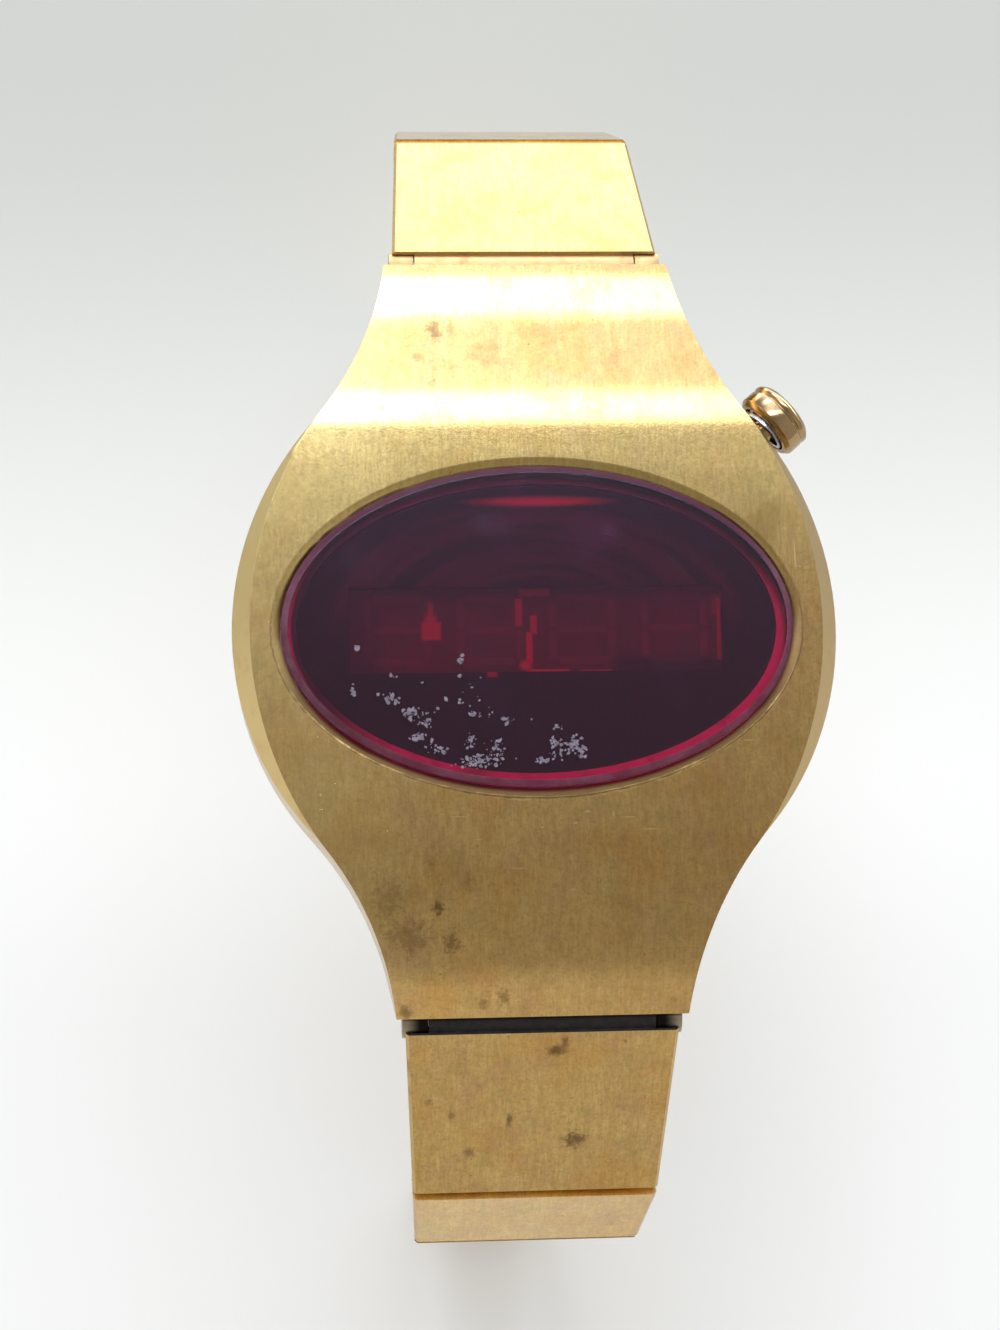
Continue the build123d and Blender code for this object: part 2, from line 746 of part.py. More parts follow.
def add_barrel(barrel_half, radius, bore_radius):
    """The bored barrel that turns on the pin, with its neck back to the piece."""
    with BuildSketch(Plane.YZ) as barrel:
        Circle(radius)
        with Locations((radius, 0)):
            Rectangle(2 * radius, 2 * radius)
    extrude(barrel.sketch, amount=barrel_half, both=True)
    with BuildSketch(Plane.YZ) as bore:
        Circle(bore_radius)
    extrude(bore.sketch, amount=barrel_half + overrun, both=True, mode=Mode.SUBTRACT)


def bracelet_link(length, width_in, width_out, barrel_half, barrel_radius, bore_radius):
    """A link: barrel at the near pivot, square ends above the pivots and mitred ends below."""
    with BuildPart() as link:
        with BuildSketch(Plane.YZ):
            Polygon(
                (edge_gap, link_above),
                (edge_gap, 0),
                (edge_gap + mitre, -link_below),
                (length - edge_gap - mitre, -link_below),
                (length - edge_gap, 0),
                (length - edge_gap, link_above),
                align=None,
            )
        extrude(amount=width_in, both=True)
        with BuildSketch(Plane.XY.offset(-link_below)):
            Polygon(
                (width_in / 2, 0),
                (width_out / 2, length),
                (-width_out / 2, length),
                (-width_in / 2, 0),
                align=None,
            )
        extrude(amount=link_below + link_above, mode=Mode.INTERSECT)
        top_edges = link.faces().sort_by(Axis.Z)[-1].edges().sort_by(Axis.X)
        chamfer([top_edges[0], top_edges[-1]], edge_chamfer)
        groove_start_y = barrel_radius + back_groove_margin
        groove_end_y = length - knuckle_radius - back_groove_margin
        with BuildSketch(Plane.XY.offset(-link_below)):
            with Locations((0, (groove_start_y + groove_end_y) / 2)):
                Rectangle(width_out - 2 * back_groove_margin, groove_end_y - groove_start_y)
        extrude(amount=back_groove_depth, mode=Mode.SUBTRACT)
        cut_near_knuckle(width_in, barrel_half, barrel_radius)
        add_barrel(barrel_half, barrel_radius, bore_radius)
        ear_inner = inner_half(width_out)
        slot_half = knuckle_radius + knuckle_clearance
        with BuildSketch(Plane.YZ):
            with Locations((length, 0)):
                Circle(knuckle_radius)
            with Locations((length - knuckle_radius, 0)):
                Rectangle(2 * knuckle_radius, 2 * knuckle_radius)
        extrude(amount=width_out / 2, both=True)
        with BuildSketch(Plane.YZ):
            with Locations((length, 0)):
                Rectangle(2 * slot_half, 2 * slot_half)
        extrude(amount=ear_inner, both=True, mode=Mode.SUBTRACT)
        with BuildSketch(Plane.YZ):
            with Locations((length, 0)):
                Circle(pin_radius)
        extrude(amount=width_out, both=True, mode=Mode.SUBTRACT)
    return link


def hinge_pin(length):
    """A plain round pin along X, centred on its pivot."""
    with BuildPart() as pin:
        with BuildSketch(Plane.YZ):
            Circle(pin_radius)
        extrude(amount=length / 2, both=True)
    return pin


def spring_bar():
    """A spring bar: a tube with a turned tip at each end."""
    with BuildPart() as bar:
        with BuildSketch(Plane.YZ):
            Circle(bar_radius)
        extrude(amount=lug_cavity_half - seat_gap, both=True)
        with BuildSketch(Plane.YZ):
            Circle(bar_tip_radius)
        extrude(amount=lug_cavity_half + bar_tip_length, both=True)
    return bar


def save_piece(piece, name, plane):
    """Puts a piece that was drawn level on its pivot plane and writes it."""
    placed = piece.part.moved(Location(plane))
    placed.label = name
    export_step(placed, f"parts/{name}.step")


sides = {"12": chain_planes(1), "6": chain_planes(-1)}
distances = [sum(chain_lengths[:count]) for count in range(links_per_side + 1)]
for side_name, planes in sides.items():
    save_piece(spring_bar(), f"spring_bar_{side_name}", planes[0])
    for index, length in enumerate(chain_lengths):
        width_in = band_width_at(distances[index])
        width_out = band_width_at(distances[index + 1])
        if index == 0:
            link = bracelet_link(
                length, width_in, width_out, lug_cavity_half - ear_clearance,
                lug_knuckle_radius, bar_radius + slide_fit,
            )
        else:
            link = bracelet_link(
                length, width_in, width_out, inner_half(width_in) - ear_clearance,
                knuckle_radius, pin_radius + slide_fit,
            )
        save_piece(link, f"link_{side_name}_{index + 1}", planes[index])
        pin = hinge_pin(width_out - 2 * pin_inset)
        save_piece(pin, f"pin_{side_name}_{index + 1}", planes[index + 1])

# Clasp tray: floor and walls of folded sheet, with lips that guide the ladder plate
clasp_barrel_half = inner_half(clasp_width) - ear_clearance
wall_half = clasp_width / 2
wall_inner = wall_half - clasp_wall
with BuildPart() as clasp_tray:
    with BuildSketch(Plane.YZ):
        Polygon(
            (edge_gap, link_above),
            (edge_gap, 0),
            (edge_gap + mitre, -link_below),
            (clasp_length, -link_below),
            (clasp_length, clasp_wall_top),
            (clasp_block_length, clasp_wall_top),
            (clasp_block_length, link_above),
            align=None,
        )
    extrude(amount=wall_half, both=True)
    with BuildSketch(Plane.XY.offset(clasp_floor - link_below)):
        with Locations((0, clasp_block_length + clasp_length / 2)):
            Rectangle(2 * wall_inner, clasp_length)
    extrude(amount=link_below + link_above, mode=Mode.SUBTRACT)
    with BuildSketch(Plane.XY.offset(clasp_wall_top - clasp_lip_height)):
        for x in (-1, 1):
            with Locations((x * (wall_inner - clasp_lip_width / 2), clasp_length - clasp_lip_length / 2)):
                Rectangle(clasp_lip_width, clasp_lip_length)
    extrude(amount=clasp_lip_height)
    cut_near_knuckle(clasp_width, clasp_barrel_half, knuckle_radius)
    add_barrel(clasp_barrel_half, knuckle_radius, pin_radius + slide_fit)
    with BuildSketch(Plane.YZ):
        with Locations((flap_hinge_reach, 0)):
            Circle(flap_pin_radius)
    extrude(amount=clasp_width, both=True, mode=Mode.SUBTRACT)
save_piece(clasp_tray, "clasp_tray", sides["12"][-1])

# Clasp flap: the outer plate, hinged in the tray, with a tooth that drops into a rung
flap_bottom = clasp_wall_top + seat_gap
flap_end = clasp_length + flap_overhang
flap_ear_outer = wall_inner - seat_gap
tooth_y = clasp_length - rung_first
with BuildPart() as clasp_flap:
    with BuildSketch(Plane.XY.offset(flap_bottom)):
        with Locations((0, (flap_shoulder + flap_end) / 2)):
            Rectangle(clasp_width, flap_end - flap_shoulder)
        with Locations((0, (flap_start + flap_shoulder) / 2)):
            Rectangle(2 * flap_ear_outer, flap_shoulder - flap_start)
    extrude(amount=flap_thickness)
    top_edges = clasp_flap.faces().sort_by(Axis.Z)[-1].edges()
    chamfer(top_edges, edge_chamfer)
    for face in (flap_ear_outer - clasp_wall, -flap_ear_outer):
        with BuildSketch(Plane.YZ.offset(face)):
            with Locations((flap_hinge_reach, 0)):
                Circle(flap_ear_radius)
            with Locations((flap_hinge_reach, flap_bottom / 2)):
                Rectangle(flap_neck_width, flap_bottom)
        extrude(amount=clasp_wall)
    with BuildSketch(Plane.YZ):
        with Locations((flap_hinge_reach, 0)):
            Circle(flap_pin_radius + slide_fit)
    extrude(amount=clasp_width, both=True, mode=Mode.SUBTRACT)
    with BuildSketch(Plane.XY.offset(flap_bottom)):
        with Locations((0, tooth_y)):
            Rectangle(flap_tooth_width, flap_tooth_length)
    extrude(amount=-flap_tooth_height)
save_piece(clasp_flap, "clasp_flap", sides["12"][-1])

# Flap pin, pressed through the tray's walls
with BuildPart() as flap_pin:
    with BuildSketch(Plane.YZ):
        with Locations((flap_hinge_reach, 0)):
            Circle(flap_pin_radius)
    extrude(amount=wall_half - pin_inset, both=True)
save_piece(flap_pin, "flap_pin", sides["12"][-1])

# Ladder plate: slots for the tooth along it and a wide tip that keeps it in the tray
ladder_bottom = clasp_floor - link_below + seat_gap
with BuildPart() as ladder_plate:
    with BuildSketch(Plane.XY.offset(ladder_bottom)):
        with Locations((0, (knuckle_radius + ladder_length) / 2)):
            Rectangle(ladder_width, ladder_length - knuckle_radius)
        with Locations((0, ladder_length - ladder_tip_length / 2)):
            Rectangle(ladder_tip_width, ladder_tip_length)
        for rung in range(rung_count):
            with Locations((0, rung_first + rung * rung_pitch)):
                Rectangle(rung_slot_length, rung_slot_width, mode=Mode.SUBTRACT)
    extrude(amount=ladder_thickness)
    add_barrel(clasp_barrel_half, knuckle_radius, pin_radius + slide_fit)
save_piece(ladder_plate, "ladder_plate", sides["6"][-1])

for side_name, planes in sides.items():
    for index, plane in enumerate(planes):
        print("pivot", side_name, index, [round(value, 4) for value in plane.origin])
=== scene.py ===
from math import cos, hypot, pi, radians, sin
from random import Random

import bmesh
import bpy
from mathutils import Matrix, Vector


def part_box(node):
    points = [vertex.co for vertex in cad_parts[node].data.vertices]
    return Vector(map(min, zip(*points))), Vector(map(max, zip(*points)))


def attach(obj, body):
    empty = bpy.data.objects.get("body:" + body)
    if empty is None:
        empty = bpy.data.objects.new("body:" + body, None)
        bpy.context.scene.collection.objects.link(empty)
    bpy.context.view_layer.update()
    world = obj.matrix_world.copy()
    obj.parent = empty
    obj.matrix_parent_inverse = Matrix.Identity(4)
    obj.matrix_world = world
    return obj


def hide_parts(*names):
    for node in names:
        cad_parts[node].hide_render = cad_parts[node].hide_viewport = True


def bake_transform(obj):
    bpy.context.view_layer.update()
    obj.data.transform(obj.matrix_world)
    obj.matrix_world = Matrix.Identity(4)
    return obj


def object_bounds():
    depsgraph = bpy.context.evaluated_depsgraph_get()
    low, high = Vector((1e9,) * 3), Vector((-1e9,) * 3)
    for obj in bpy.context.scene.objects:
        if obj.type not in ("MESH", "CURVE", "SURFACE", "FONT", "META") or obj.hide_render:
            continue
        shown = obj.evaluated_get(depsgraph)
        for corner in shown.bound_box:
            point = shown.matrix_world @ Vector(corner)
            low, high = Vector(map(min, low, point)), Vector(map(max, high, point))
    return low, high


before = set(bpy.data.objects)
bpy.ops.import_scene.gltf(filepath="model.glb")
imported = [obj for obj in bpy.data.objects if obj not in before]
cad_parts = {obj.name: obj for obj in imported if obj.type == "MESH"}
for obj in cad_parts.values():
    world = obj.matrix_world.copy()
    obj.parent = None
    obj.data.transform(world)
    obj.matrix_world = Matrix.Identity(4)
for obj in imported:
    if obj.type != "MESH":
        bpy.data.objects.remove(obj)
cad_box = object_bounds()

# Case body
# The case is one gold-plated forging with hollow flanks. Its top is brushed from 12 to 6
# o'clock, and the bevel along each flank is polished.

MM = 0.001
PER_MM = 1 / MM
EDGE_ROUNDING = 0.07 * MM
EDGE_SEGMENTS = 2
SMOOTH_ANGLE = radians(32)
FLAT_ANGLE = radians(0.4)
MERGE_DISTANCE = 0.0005 * MM
SIDE_FACING = 0.8


def added(name, shape):
    """A new object in the scene, made from a bmesh."""
    mesh = bpy.data.meshes.new(name)
    shape.to_mesh(mesh)
    shape.free()
    piece = bpy.data.objects.new(name, mesh)
    bpy.context.scene.collection.objects.link(piece)
    return piece


def dressed(node, body, rounding=EDGE_ROUNDING, layout="case"):
    """A merged copy of a CAD piece with rounded edges and a UV map along its brushing."""
    shape = bmesh.new()
    shape.from_mesh(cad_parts[node].data)
    bmesh.ops.remove_doubles(shape, verts=shape.verts, dist=MERGE_DISTANCE)
    bmesh.ops.dissolve_limit(
        shape, angle_limit=FLAT_ANGLE, use_dissolve_boundaries=False,
        verts=shape.verts, edges=shape.edges, delimit={"NORMAL"},
    )
    brushing = shape.loops.layers.uv.new("brushing")
    for face in shape.faces:
        face.smooth = True
        for corner in face.loops:
            x, y, z = corner.vert.co / MM
            if abs(face.normal.x) > SIDE_FACING:
                corner[brushing].uv = (y, z)
            elif layout == "case":
                corner[brushing].uv = (x, y)
            else:
                corner[brushing].uv = (x, abs(y) - z)
    piece = added(node + "_dressed", shape)
    piece.data.set_sharp_from_angle(angle=SMOOTH_ANGLE)
    if rounding:
        edge = piece.modifiers.new("edges", "BEVEL")
        edge.width = rounding
        edge.segments = EDGE_SEGMENTS
        edge.limit_method = "ANGLE"
        edge.angle_limit = SMOOTH_ANGLE
        flat = piece.modifiers.new("flat_faces", "WEIGHTED_NORMAL")
        flat.mode = "FACE_AREA"
        flat.weight = 50
    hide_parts(node)
    if body:
        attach(piece, body)
    return piece


def parts_of(material):
    """A material's tree and its shader."""
    tree = material.node_tree
    return tree, tree.nodes["Principled BSDF"]


def finish(name):
    """A new material with its tree and its shader."""
    material = bpy.data.materials.new(name)
    material.use_nodes = True
    return (material, *parts_of(material))


def node(tree, kind, settings=None, **inputs):
    """A node with its settings and its inputs, which are values or sockets.

    An input is named by its label, or by its number after an underscore."""
    made = tree.nodes.new(kind)
    for name, value in (settings or {}).items():
        setattr(made, name, value)
    for name, value in inputs.items():
        numbered = name[0] == "_" and name[1:].isdigit()
        key = int(name[1:]) if numbered else name.replace("_", " ")
        if isinstance(value, bpy.types.NodeSocket):
            tree.links.new(value, made.inputs[key])
        else:
            made.inputs[key].default_value = value
    return made


def math(tree, operation, first, second=0.0, third=0.0, clamp=False):
    """A value worked out from two or three others."""
    settings = {"operation": operation, "use_clamp": clamp}
    return node(tree, "ShaderNodeMath", settings, _0=first, _1=second, _2=third).outputs[0]


def times(tree, first, second):
    """The product of two values."""
    return math(tree, "MULTIPLY", first, second)


def vector(tree, operation, first, second=(0.0, 0.0, 0.0)):
    """A vector worked out from two others, or a vector's length."""
    made = node(tree, "ShaderNodeVectorMath", {"operation": operation}, _0=first, _1=second)
    return made.outputs["Value" if operation == "LENGTH" else "Vector"]


def mixed(tree, share, first, second):
    """Two colours mixed by a share."""
    settings = {"data_type": "RGBA", "clamp_factor": True}
    return node(tree, "ShaderNodeMix", settings, _0=share, _6=first, _7=second).outputs[2]


def steps(tree, value, low, high):
    """A mask that rises softly from 0 at low to 1 at high."""
    return node(tree, "ShaderNodeMapRange", {"interpolation_type": "SMOOTHSTEP"},
                Value=value, From_Min=low, From_Max=high).outputs[0]


def rise(tree, value, low, high):
    """A mask that rises from 0 at one place to 1 at another, both in millimetres."""
    return steps(tree, value, low * MM, high * MM)


def near(tree, value, place, fade, full):
    """A mask round one place: full up to one distance and gone at another, in millimetres."""
    away = math(tree, "ABSOLUTE", math(tree, "SUBTRACT", value, place * MM))
    return rise(tree, away, fade, full)


def tone(red, green, blue):
    """A colour from its values on a screen, 0 to 255."""
    linear = [c / 12.92 if c <= 0.04045 else ((c + 0.055) / 1.055) ** 2.4
              for c in (red / 255, green / 255, blue / 255)]
    return (*linear, 1.0)


def group(name, inputs, outputs):
    """A node group with named sockets: its tree, its start and its end."""
    tree = bpy.data.node_groups.new(name, "ShaderNodeTree")
    for label, kind, value in inputs:
        socket = tree.interface.new_socket(
            label, in_out="INPUT", socket_type="NodeSocket" + kind)
        if value is not None:
            socket.default_value = value
    for label, kind in outputs:
        tree.interface.new_socket(label, in_out="OUTPUT", socket_type="NodeSocket" + kind)
    return tree, tree.nodes.new("NodeGroupInput"), tree.nodes.new("NodeGroupOutput")


def placed(tree, made, **inputs):
    """The outputs of a node group put into a material."""
    return node(tree, "ShaderNodeGroup", {"node_tree": made}, **inputs).outputs


def object_place(tree):
    """The place on the object, in metres."""
    return node(tree, "ShaderNodeTexCoord").outputs["Object"]


def east_north(tree, place):
    """How far a place lies toward 3 o'clock, and how far toward 12 o'clock."""
    parts = node(tree, "ShaderNodeSeparateXYZ", Vector=place)
    return parts.outputs["X"], parts.outputs["Y"]


# Brushing: short fine lines that cross X, with broader and fainter streaks among them
grain_group, start, end = group(
    "brushing",
    [("Place", "Vector", None), ("Lines per mm", "Float", 7.0), ("Length", "Float", 1.1)],
    [("Fine", "Float"), ("Streaks", "Float")],
)
across = times(grain_group, start.outputs["Lines per mm"], PER_MM)
along = math(grain_group, "DIVIDE", PER_MM, start.outputs["Length"])
for label, share, detail in (("Fine", 1.0, 3.0), ("Streaks", 0.35, 4.0)):
    stretch = node(grain_group, "ShaderNodeCombineXYZ",
                   X=times(grain_group, across, share),
                   Y=times(grain_group, along, share),
                   Z=times(grain_group, along, share))
    spread = vector(grain_group, "MULTIPLY", start.outputs["Place"], stretch.outputs[0])
    lines = node(grain_group, "ShaderNodeTexNoise",
                 Vector=spread, Scale=1.0, Detail=detail, Roughness=0.6)
    grain_group.links.new(lines.outputs[0], end.inputs[label])

# Blotches: soft patches where the plating has changed its tone. Shift gives each use its own
blotch_group, start, end = group(
    "blotches",
    [("Place", "Vector", None), ("Size", "Float", 3.0), ("Low", "Float", 0.5),
     ("High", "Float", 0.7), ("Shift", "Vector", (0, 0, 0))],
    [("Mask", "Float")],
)
moved = vector(blotch_group, "ADD", start.outputs["Place"], start.outputs["Shift"])
patches = node(blotch_group, "ShaderNodeTexNoise", Vector=moved,
               Scale=math(blotch_group, "DIVIDE", PER_MM, start.outputs["Size"]),
               Detail=5.0, Roughness=0.62)
shaped = steps(blotch_group, patches.outputs[0], start.outputs["Low"], start.outputs["High"])
blotch_group.links.new(shaped, end.inputs["Mask"])


def blotches(tree, place, size, low, high, shift=(0.0, 0.0, 0.0)):
    """A mask of soft patches: their size in millimetres, and where it starts and fills."""
    return placed(tree, blotch_group, Place=place, Size=size, Low=low, High=high,
                  Shift=shift)["Mask"]


# Pits: small dark points scattered over worn metal
pit_group, start, end = group(
    "pits",
    [("Place", "Vector", None), ("Spacing", "Float", 1.0), ("Size", "Float", 0.08)],
    [("Mask", "Float")],
)
cells = node(pit_group, "ShaderNodeTexVoronoi", Vector=start.outputs["Place"],
             Scale=math(pit_group, "DIVIDE", PER_MM, start.outputs["Spacing"]))
drawn = node(pit_group, "ShaderNodeSeparateColor", Color=cells.outputs["Color"]).outputs[0]
size_here = times(pit_group, math(pit_group, "POWER", drawn, 3.0), start.outputs["Size"])
in_pit = math(pit_group, "LESS_THAN", cells.outputs["Distance"],
              math(pit_group, "DIVIDE", size_here, start.outputs["Spacing"]))
pit_group.links.new(in_pit, end.inputs["Mask"])

# Stain: one spot of corrosion at a place of its own, with a ragged edge. Size is its half
# size each way, and the edge fades from one share of that reach to another
STAIN_EDGE = (1.25, 0.3)
stain_group, start, end = group(
    "stain",
    [("Place", "Vector", None), ("Centre", "Vector", (0, 0, 0)),
     ("Size", "Vector", (MM, MM, MM)), ("Ragged", "Float", 1.0)],
    [("Mask", "Float")],
)
wander = node(stain_group, "ShaderNodeTexNoise", Vector=start.outputs["Place"],
              Scale=2600.0, Detail=4.0, Roughness=0.7)
offset = vector(stain_group, "SUBTRACT", start.outputs["Place"], start.outputs["Centre"])
relative = vector(stain_group, "DIVIDE", offset, start.outputs["Size"])
pushed = math(stain_group, "MULTIPLY_ADD", math(stain_group, "SUBTRACT", wander.outputs[0], 0.5),
              times(stain_group, start.outputs["Ragged"], 3.0),
              vector(stain_group, "LENGTH", relative))
stain_group.links.new(steps(stain_group, pushed, *STAIN_EDGE), end.inputs["Mask"])


def stain(tree, place, centre, size, ragged):
    """A mask of one ragged spot, from its centre and half sizes in millimetres."""
    return placed(tree, stain_group, Place=place, Centre=[c * MM for c in centre],
                  Size=[s * MM for s in size], Ragged=ragged)["Mask"]


def bumped(tree, shader, height, strength, depth):
    """Gives a finish a fine relief, with its depth in millimetres."""
    bump = node(tree, "ShaderNodeBump", Strength=strength, Distance=depth * MM, Height=height)
    tree.links.new(bump.outputs[0], shader.inputs["Normal"])


def tinted(tree, shader, share, colour):
    """Mixes another colour into a finish by a share."""
    under = shader.inputs["Base Color"].links[0].from_socket
    tree.links.new(mixed(tree, share, under, colour), shader.inputs["Base Color"])


GOLD = tone(243, 206, 132)
GOLD_STREAK = tone(232, 195, 122)
GOLD_ROSE = tone(222, 178, 132)
GOLD_AMBER = tone(226, 172, 88)
GOLD_OLIVE = tone(206, 188, 116)
GOLD_PALE = tone(255, 228, 152)
GOLD_BARED = tone(252, 230, 150)
GOLD_BROWN = tone(160, 118, 70)
STAIN_BROWN = tone(98, 68, 40)
ROSE_SHIFT = (0.031, 0.017, 0.005)
OLIVE_SHIFT = (0.011, 0.043, 0.023)
AMBER_SHIFT = (0.052, 0.009, 0.037)
# Each tint of the plate: its colour, its strength, its patches' size in millimetres, where
# their mask starts and fills, and their shift
GOLD_TINTS = (
    (GOLD_ROSE, 0.5, 2.6, 0.46, 0.68, ROSE_SHIFT),
    (GOLD_OLIVE, 0.4, 2.0, 0.5, 0.7, OLIVE_SHIFT),
    (GOLD_AMBER, 0.4, 4.2, 0.46, 0.66, AMBER_SHIFT),
)


def brushed_gold(name, stains=(), brown=0.4, rough=0.15):
    """Worn brushed gold plate: grain, tinted and dull patches, pits, and stains at their places."""
    material, tree, shader = finish(name)
    place = object_place(tree)
    grain = placed(tree, grain_group, Place=place)
    colour = mixed(tree, steps(tree, grain["Streaks"], 0.36, 0.64), GOLD_STREAK, GOLD)
    for tint, strength, size, low, high, shift in GOLD_TINTS:
        patch = blotches(tree, place, size, low, high, shift)
        colour = mixed(tree, times(tree, patch, strength), colour, tint)
    lines = steps(tree, grain["Fine"], 0.6, 0.38)
    grit = blotches(tree, place, size=0.45, low=0.4, high=0.7, shift=OLIVE_SHIFT)
    specks = blotches(tree, place, size=0.2, low=0.46, high=0.7)
    for mask, strength in ((lines, 0.16), (grit, 0.2), (specks, 0.3)):
        colour = mixed(tree, times(tree, mask, strength), colour, GOLD_BROWN)
    dull = blotches(tree, place, size=3.4, low=0.5, high=0.66)
    patchy = blotches(tree, place, size=0.5, low=0.42, high=0.72)
    browned = times(tree, math(tree, "MULTIPLY_ADD", patchy, 0.6, 0.4), times(tree, dull, brown))
    colour = mixed(tree, browned, colour, GOLD_BROWN)
    dark = times(tree, placed(tree, pit_group, Place=place, Spacing=1.1, Size=0.12)["Mask"], 0.4)
    for centre, size, depth, ragged in stains:
        spot = stain(tree, place, centre, size, ragged)
        dark = math(tree, "MAXIMUM", dark, times(tree, spot, depth))
    colour = mixed(tree, dark, colour, STAIN_BROWN)
    tree.links.new(colour, shader.inputs["Base Color"])
    shader.inputs["Metallic"].default_value = 1.0
    roughness = rough
    for mask, strength in ((grain["Fine"], 0.08), (browned, 0.2), (dark, 0.3)):
        roughness = math(tree, "MULTIPLY_ADD", mask, strength, roughness)
    tree.links.new(roughness, shader.inputs["Roughness"])
    shader.inputs["Anisotropic"].default_value = 0.85
    turned = node(tree, "ShaderNodeTangent", {"direction_type": "UV_MAP", "uv_map": "brushing"})
    tree.links.new(turned.outputs[0], shader.inputs["Tangent"])
    relief = grain["Fine"]
    for mask, strength in ((grit, -0.15), (specks, -0.12)):
        relief = math(tree, "MULTIPLY_ADD", mask, strength, relief)
    relief = math(tree, "SUBTRACT", relief, times(tree, dark, 1.5))
    bumped(tree, shader, relief, strength=0.3, depth=0.01)
    return material


def polished_gold(name, light, dark, rough):
    """Polished plate with faint wipe marks and a few dull patches."""
    material, tree, shader = finish(name)
    place = object_place(tree)
    dull = blotches(tree, place, size=1.6, low=0.48, high=0.75)
    fine = blotches(tree, place, size=0.25, low=0.45, high=0.8)
    tree.links.new(mixed(tree, dull, light, dark), shader.inputs["Base Color"])
    shader.inputs["Metallic"].default_value = 1.0
    roughness = rough
    for mask, strength in ((dull, 0.09), (fine, 0.06)):
        roughness = math(tree, "MULTIPLY_ADD", mask, strength, roughness)
    tree.links.new(roughness, shader.inputs["Roughness"])
    bumped(tree, shader, fine, strength=0.12, depth=0.01)
    return material


# Each stain: its centre and half sizes in millimetres, how dark it is, and how ragged
case_stains = (
    ((-6.4, 20.2, 7.0), (0.55, 0.85, 3.0), 0.5, 1.0),
    ((-5.3, 20.4, 7.0), (0.22, 0.7, 3.0), 0.35, 1.0),
    ((-7.6, 18.2, 7.0), (0.4, 0.5, 3.0), 0.3, 1.0),
    ((-6.6, 16.3, 7.0), (0.3, 0.5, 3.0), 0.35, 1.0),
    ((-10.2, -17.6, 7.0), (1.1, 1.9, 3.0), 0.5, 1.1),
    ((-8.8, -20.0, 7.0), (1.5, 1.3, 3.0), 0.5, 1.1),
    ((-6.9, -18.2, 7.0), (0.5, 0.5, 3.0), 0.8, 0.9),
    ((-6.0, -20.4, 7.0), (0.6, 0.9, 3.0), 0.6, 1.0),
    ((-7.4, -15.6, 7.0), (0.5, 0.9, 3.0), 0.4, 1.1),
    ((-4.8, -16.6, 7.0), (0.5, 0.6, 3.0), 0.4, 1.0),
    ((-9.0, -24.8, 5.0), (0.45, 0.5, 3.0), 0.6, 0.8),
    ((-3.9, -24.2, 5.0), (0.35, 0.7, 3.0), 0.4, 1.0),
    ((-2.6, -24.0, 5.0), (0.5, 0.6, 3.0), 0.45, 1.0),
)
case_top = brushed_gold("case_top_gold", case_stains)
tree, shader = parts_of(case_top)
place = object_place(tree)
east, north = east_north(tree, place)

# The plate ripples a little where it turns down to the 12 o'clock lug
RIPPLE_PLACE = 13.5
turning = times(tree, near(tree, north, RIPPLE_PLACE, fade=1.5, full=0.4), 0.35)
ripple = blotches(tree, place, size=0.3, low=0.2, high=0.8, shift=OLIVE_SHIFT)
height = shader.inputs["Normal"].links[0].from_node.inputs["Height"]
rippled = math(tree, "MULTIPLY_ADD", ripple, turning, height.links[0].from_socket)
tree.links.new(rippled, height)

LENS_HALF = (16.8, 10.6)


def lens_ring(tree, place):
    """How far out a place is from the lens's centre, as a share that is 1 at its edge."""
    shares = (1 / (LENS_HALF[0] * MM), 1 / (LENS_HALF[1] * MM), 0.0)
    return vector(tree, "LENGTH", vector(tree, "MULTIPLY", place, shares))


# The lip round the lens is darker brown, most at its 6 o'clock side, where the lip also has a bare
# bright edge, and a thin line of painted shade runs along the lens's edge. Outward is the distance
# from the lens's edge. In each zone, all in millimetres, a mark is gone at the first distance and
# full at the second
LIP_ZONE = (0.82, 0.68)
RIM_SHADE_ZONE = (0.24, 0.1)
WORN_ZONE = (0.72, 0.55)
BARE_EDGE = 0.85
BARE_FROM_NORTH = (-3.5, -7.5)
SOUTH_FROM_NORTH = (6.0, -6.0)
RAGGED_REACH = 0.09
reach = vector(tree, "LENGTH", vector(tree, "MULTIPLY", place, (1.0, 1.0, 0.0)))
inverse_ring = math(tree, "DIVIDE", 1.0, lens_ring(tree, place))
outward = times(tree, reach, math(tree, "SUBTRACT", 1.0, inverse_ring))
ragged = blotches(tree, place, size=0.8, low=0.3, high=0.7)
outward = math(tree, "MULTIPLY_ADD", ragged, RAGGED_REACH * MM, outward)
southward = rise(tree, north, *SOUTH_FROM_NORTH)
lip = times(tree, rise(tree, outward, *LIP_ZONE), times(tree, southward, 0.9))
rim_shade_strength = math(tree, "MULTIPLY_ADD", southward, 0.35, 0.15)
rim_shade = times(tree, rise(tree, outward, *RIM_SHADE_ZONE), rim_shade_strength)
lip_tone_and_rim_shade = math(tree, "MAXIMUM", lip, rim_shade)
bared = times(tree, near(tree, outward, BARE_EDGE, fade=0.09, full=0.01),
              times(tree, rise(tree, north, *BARE_FROM_NORTH), 0.5))
broken = blotches(tree, place, size=1.3, low=0.42, high=0.6, shift=ROSE_SHIFT)
bared = times(tree, bared, broken)

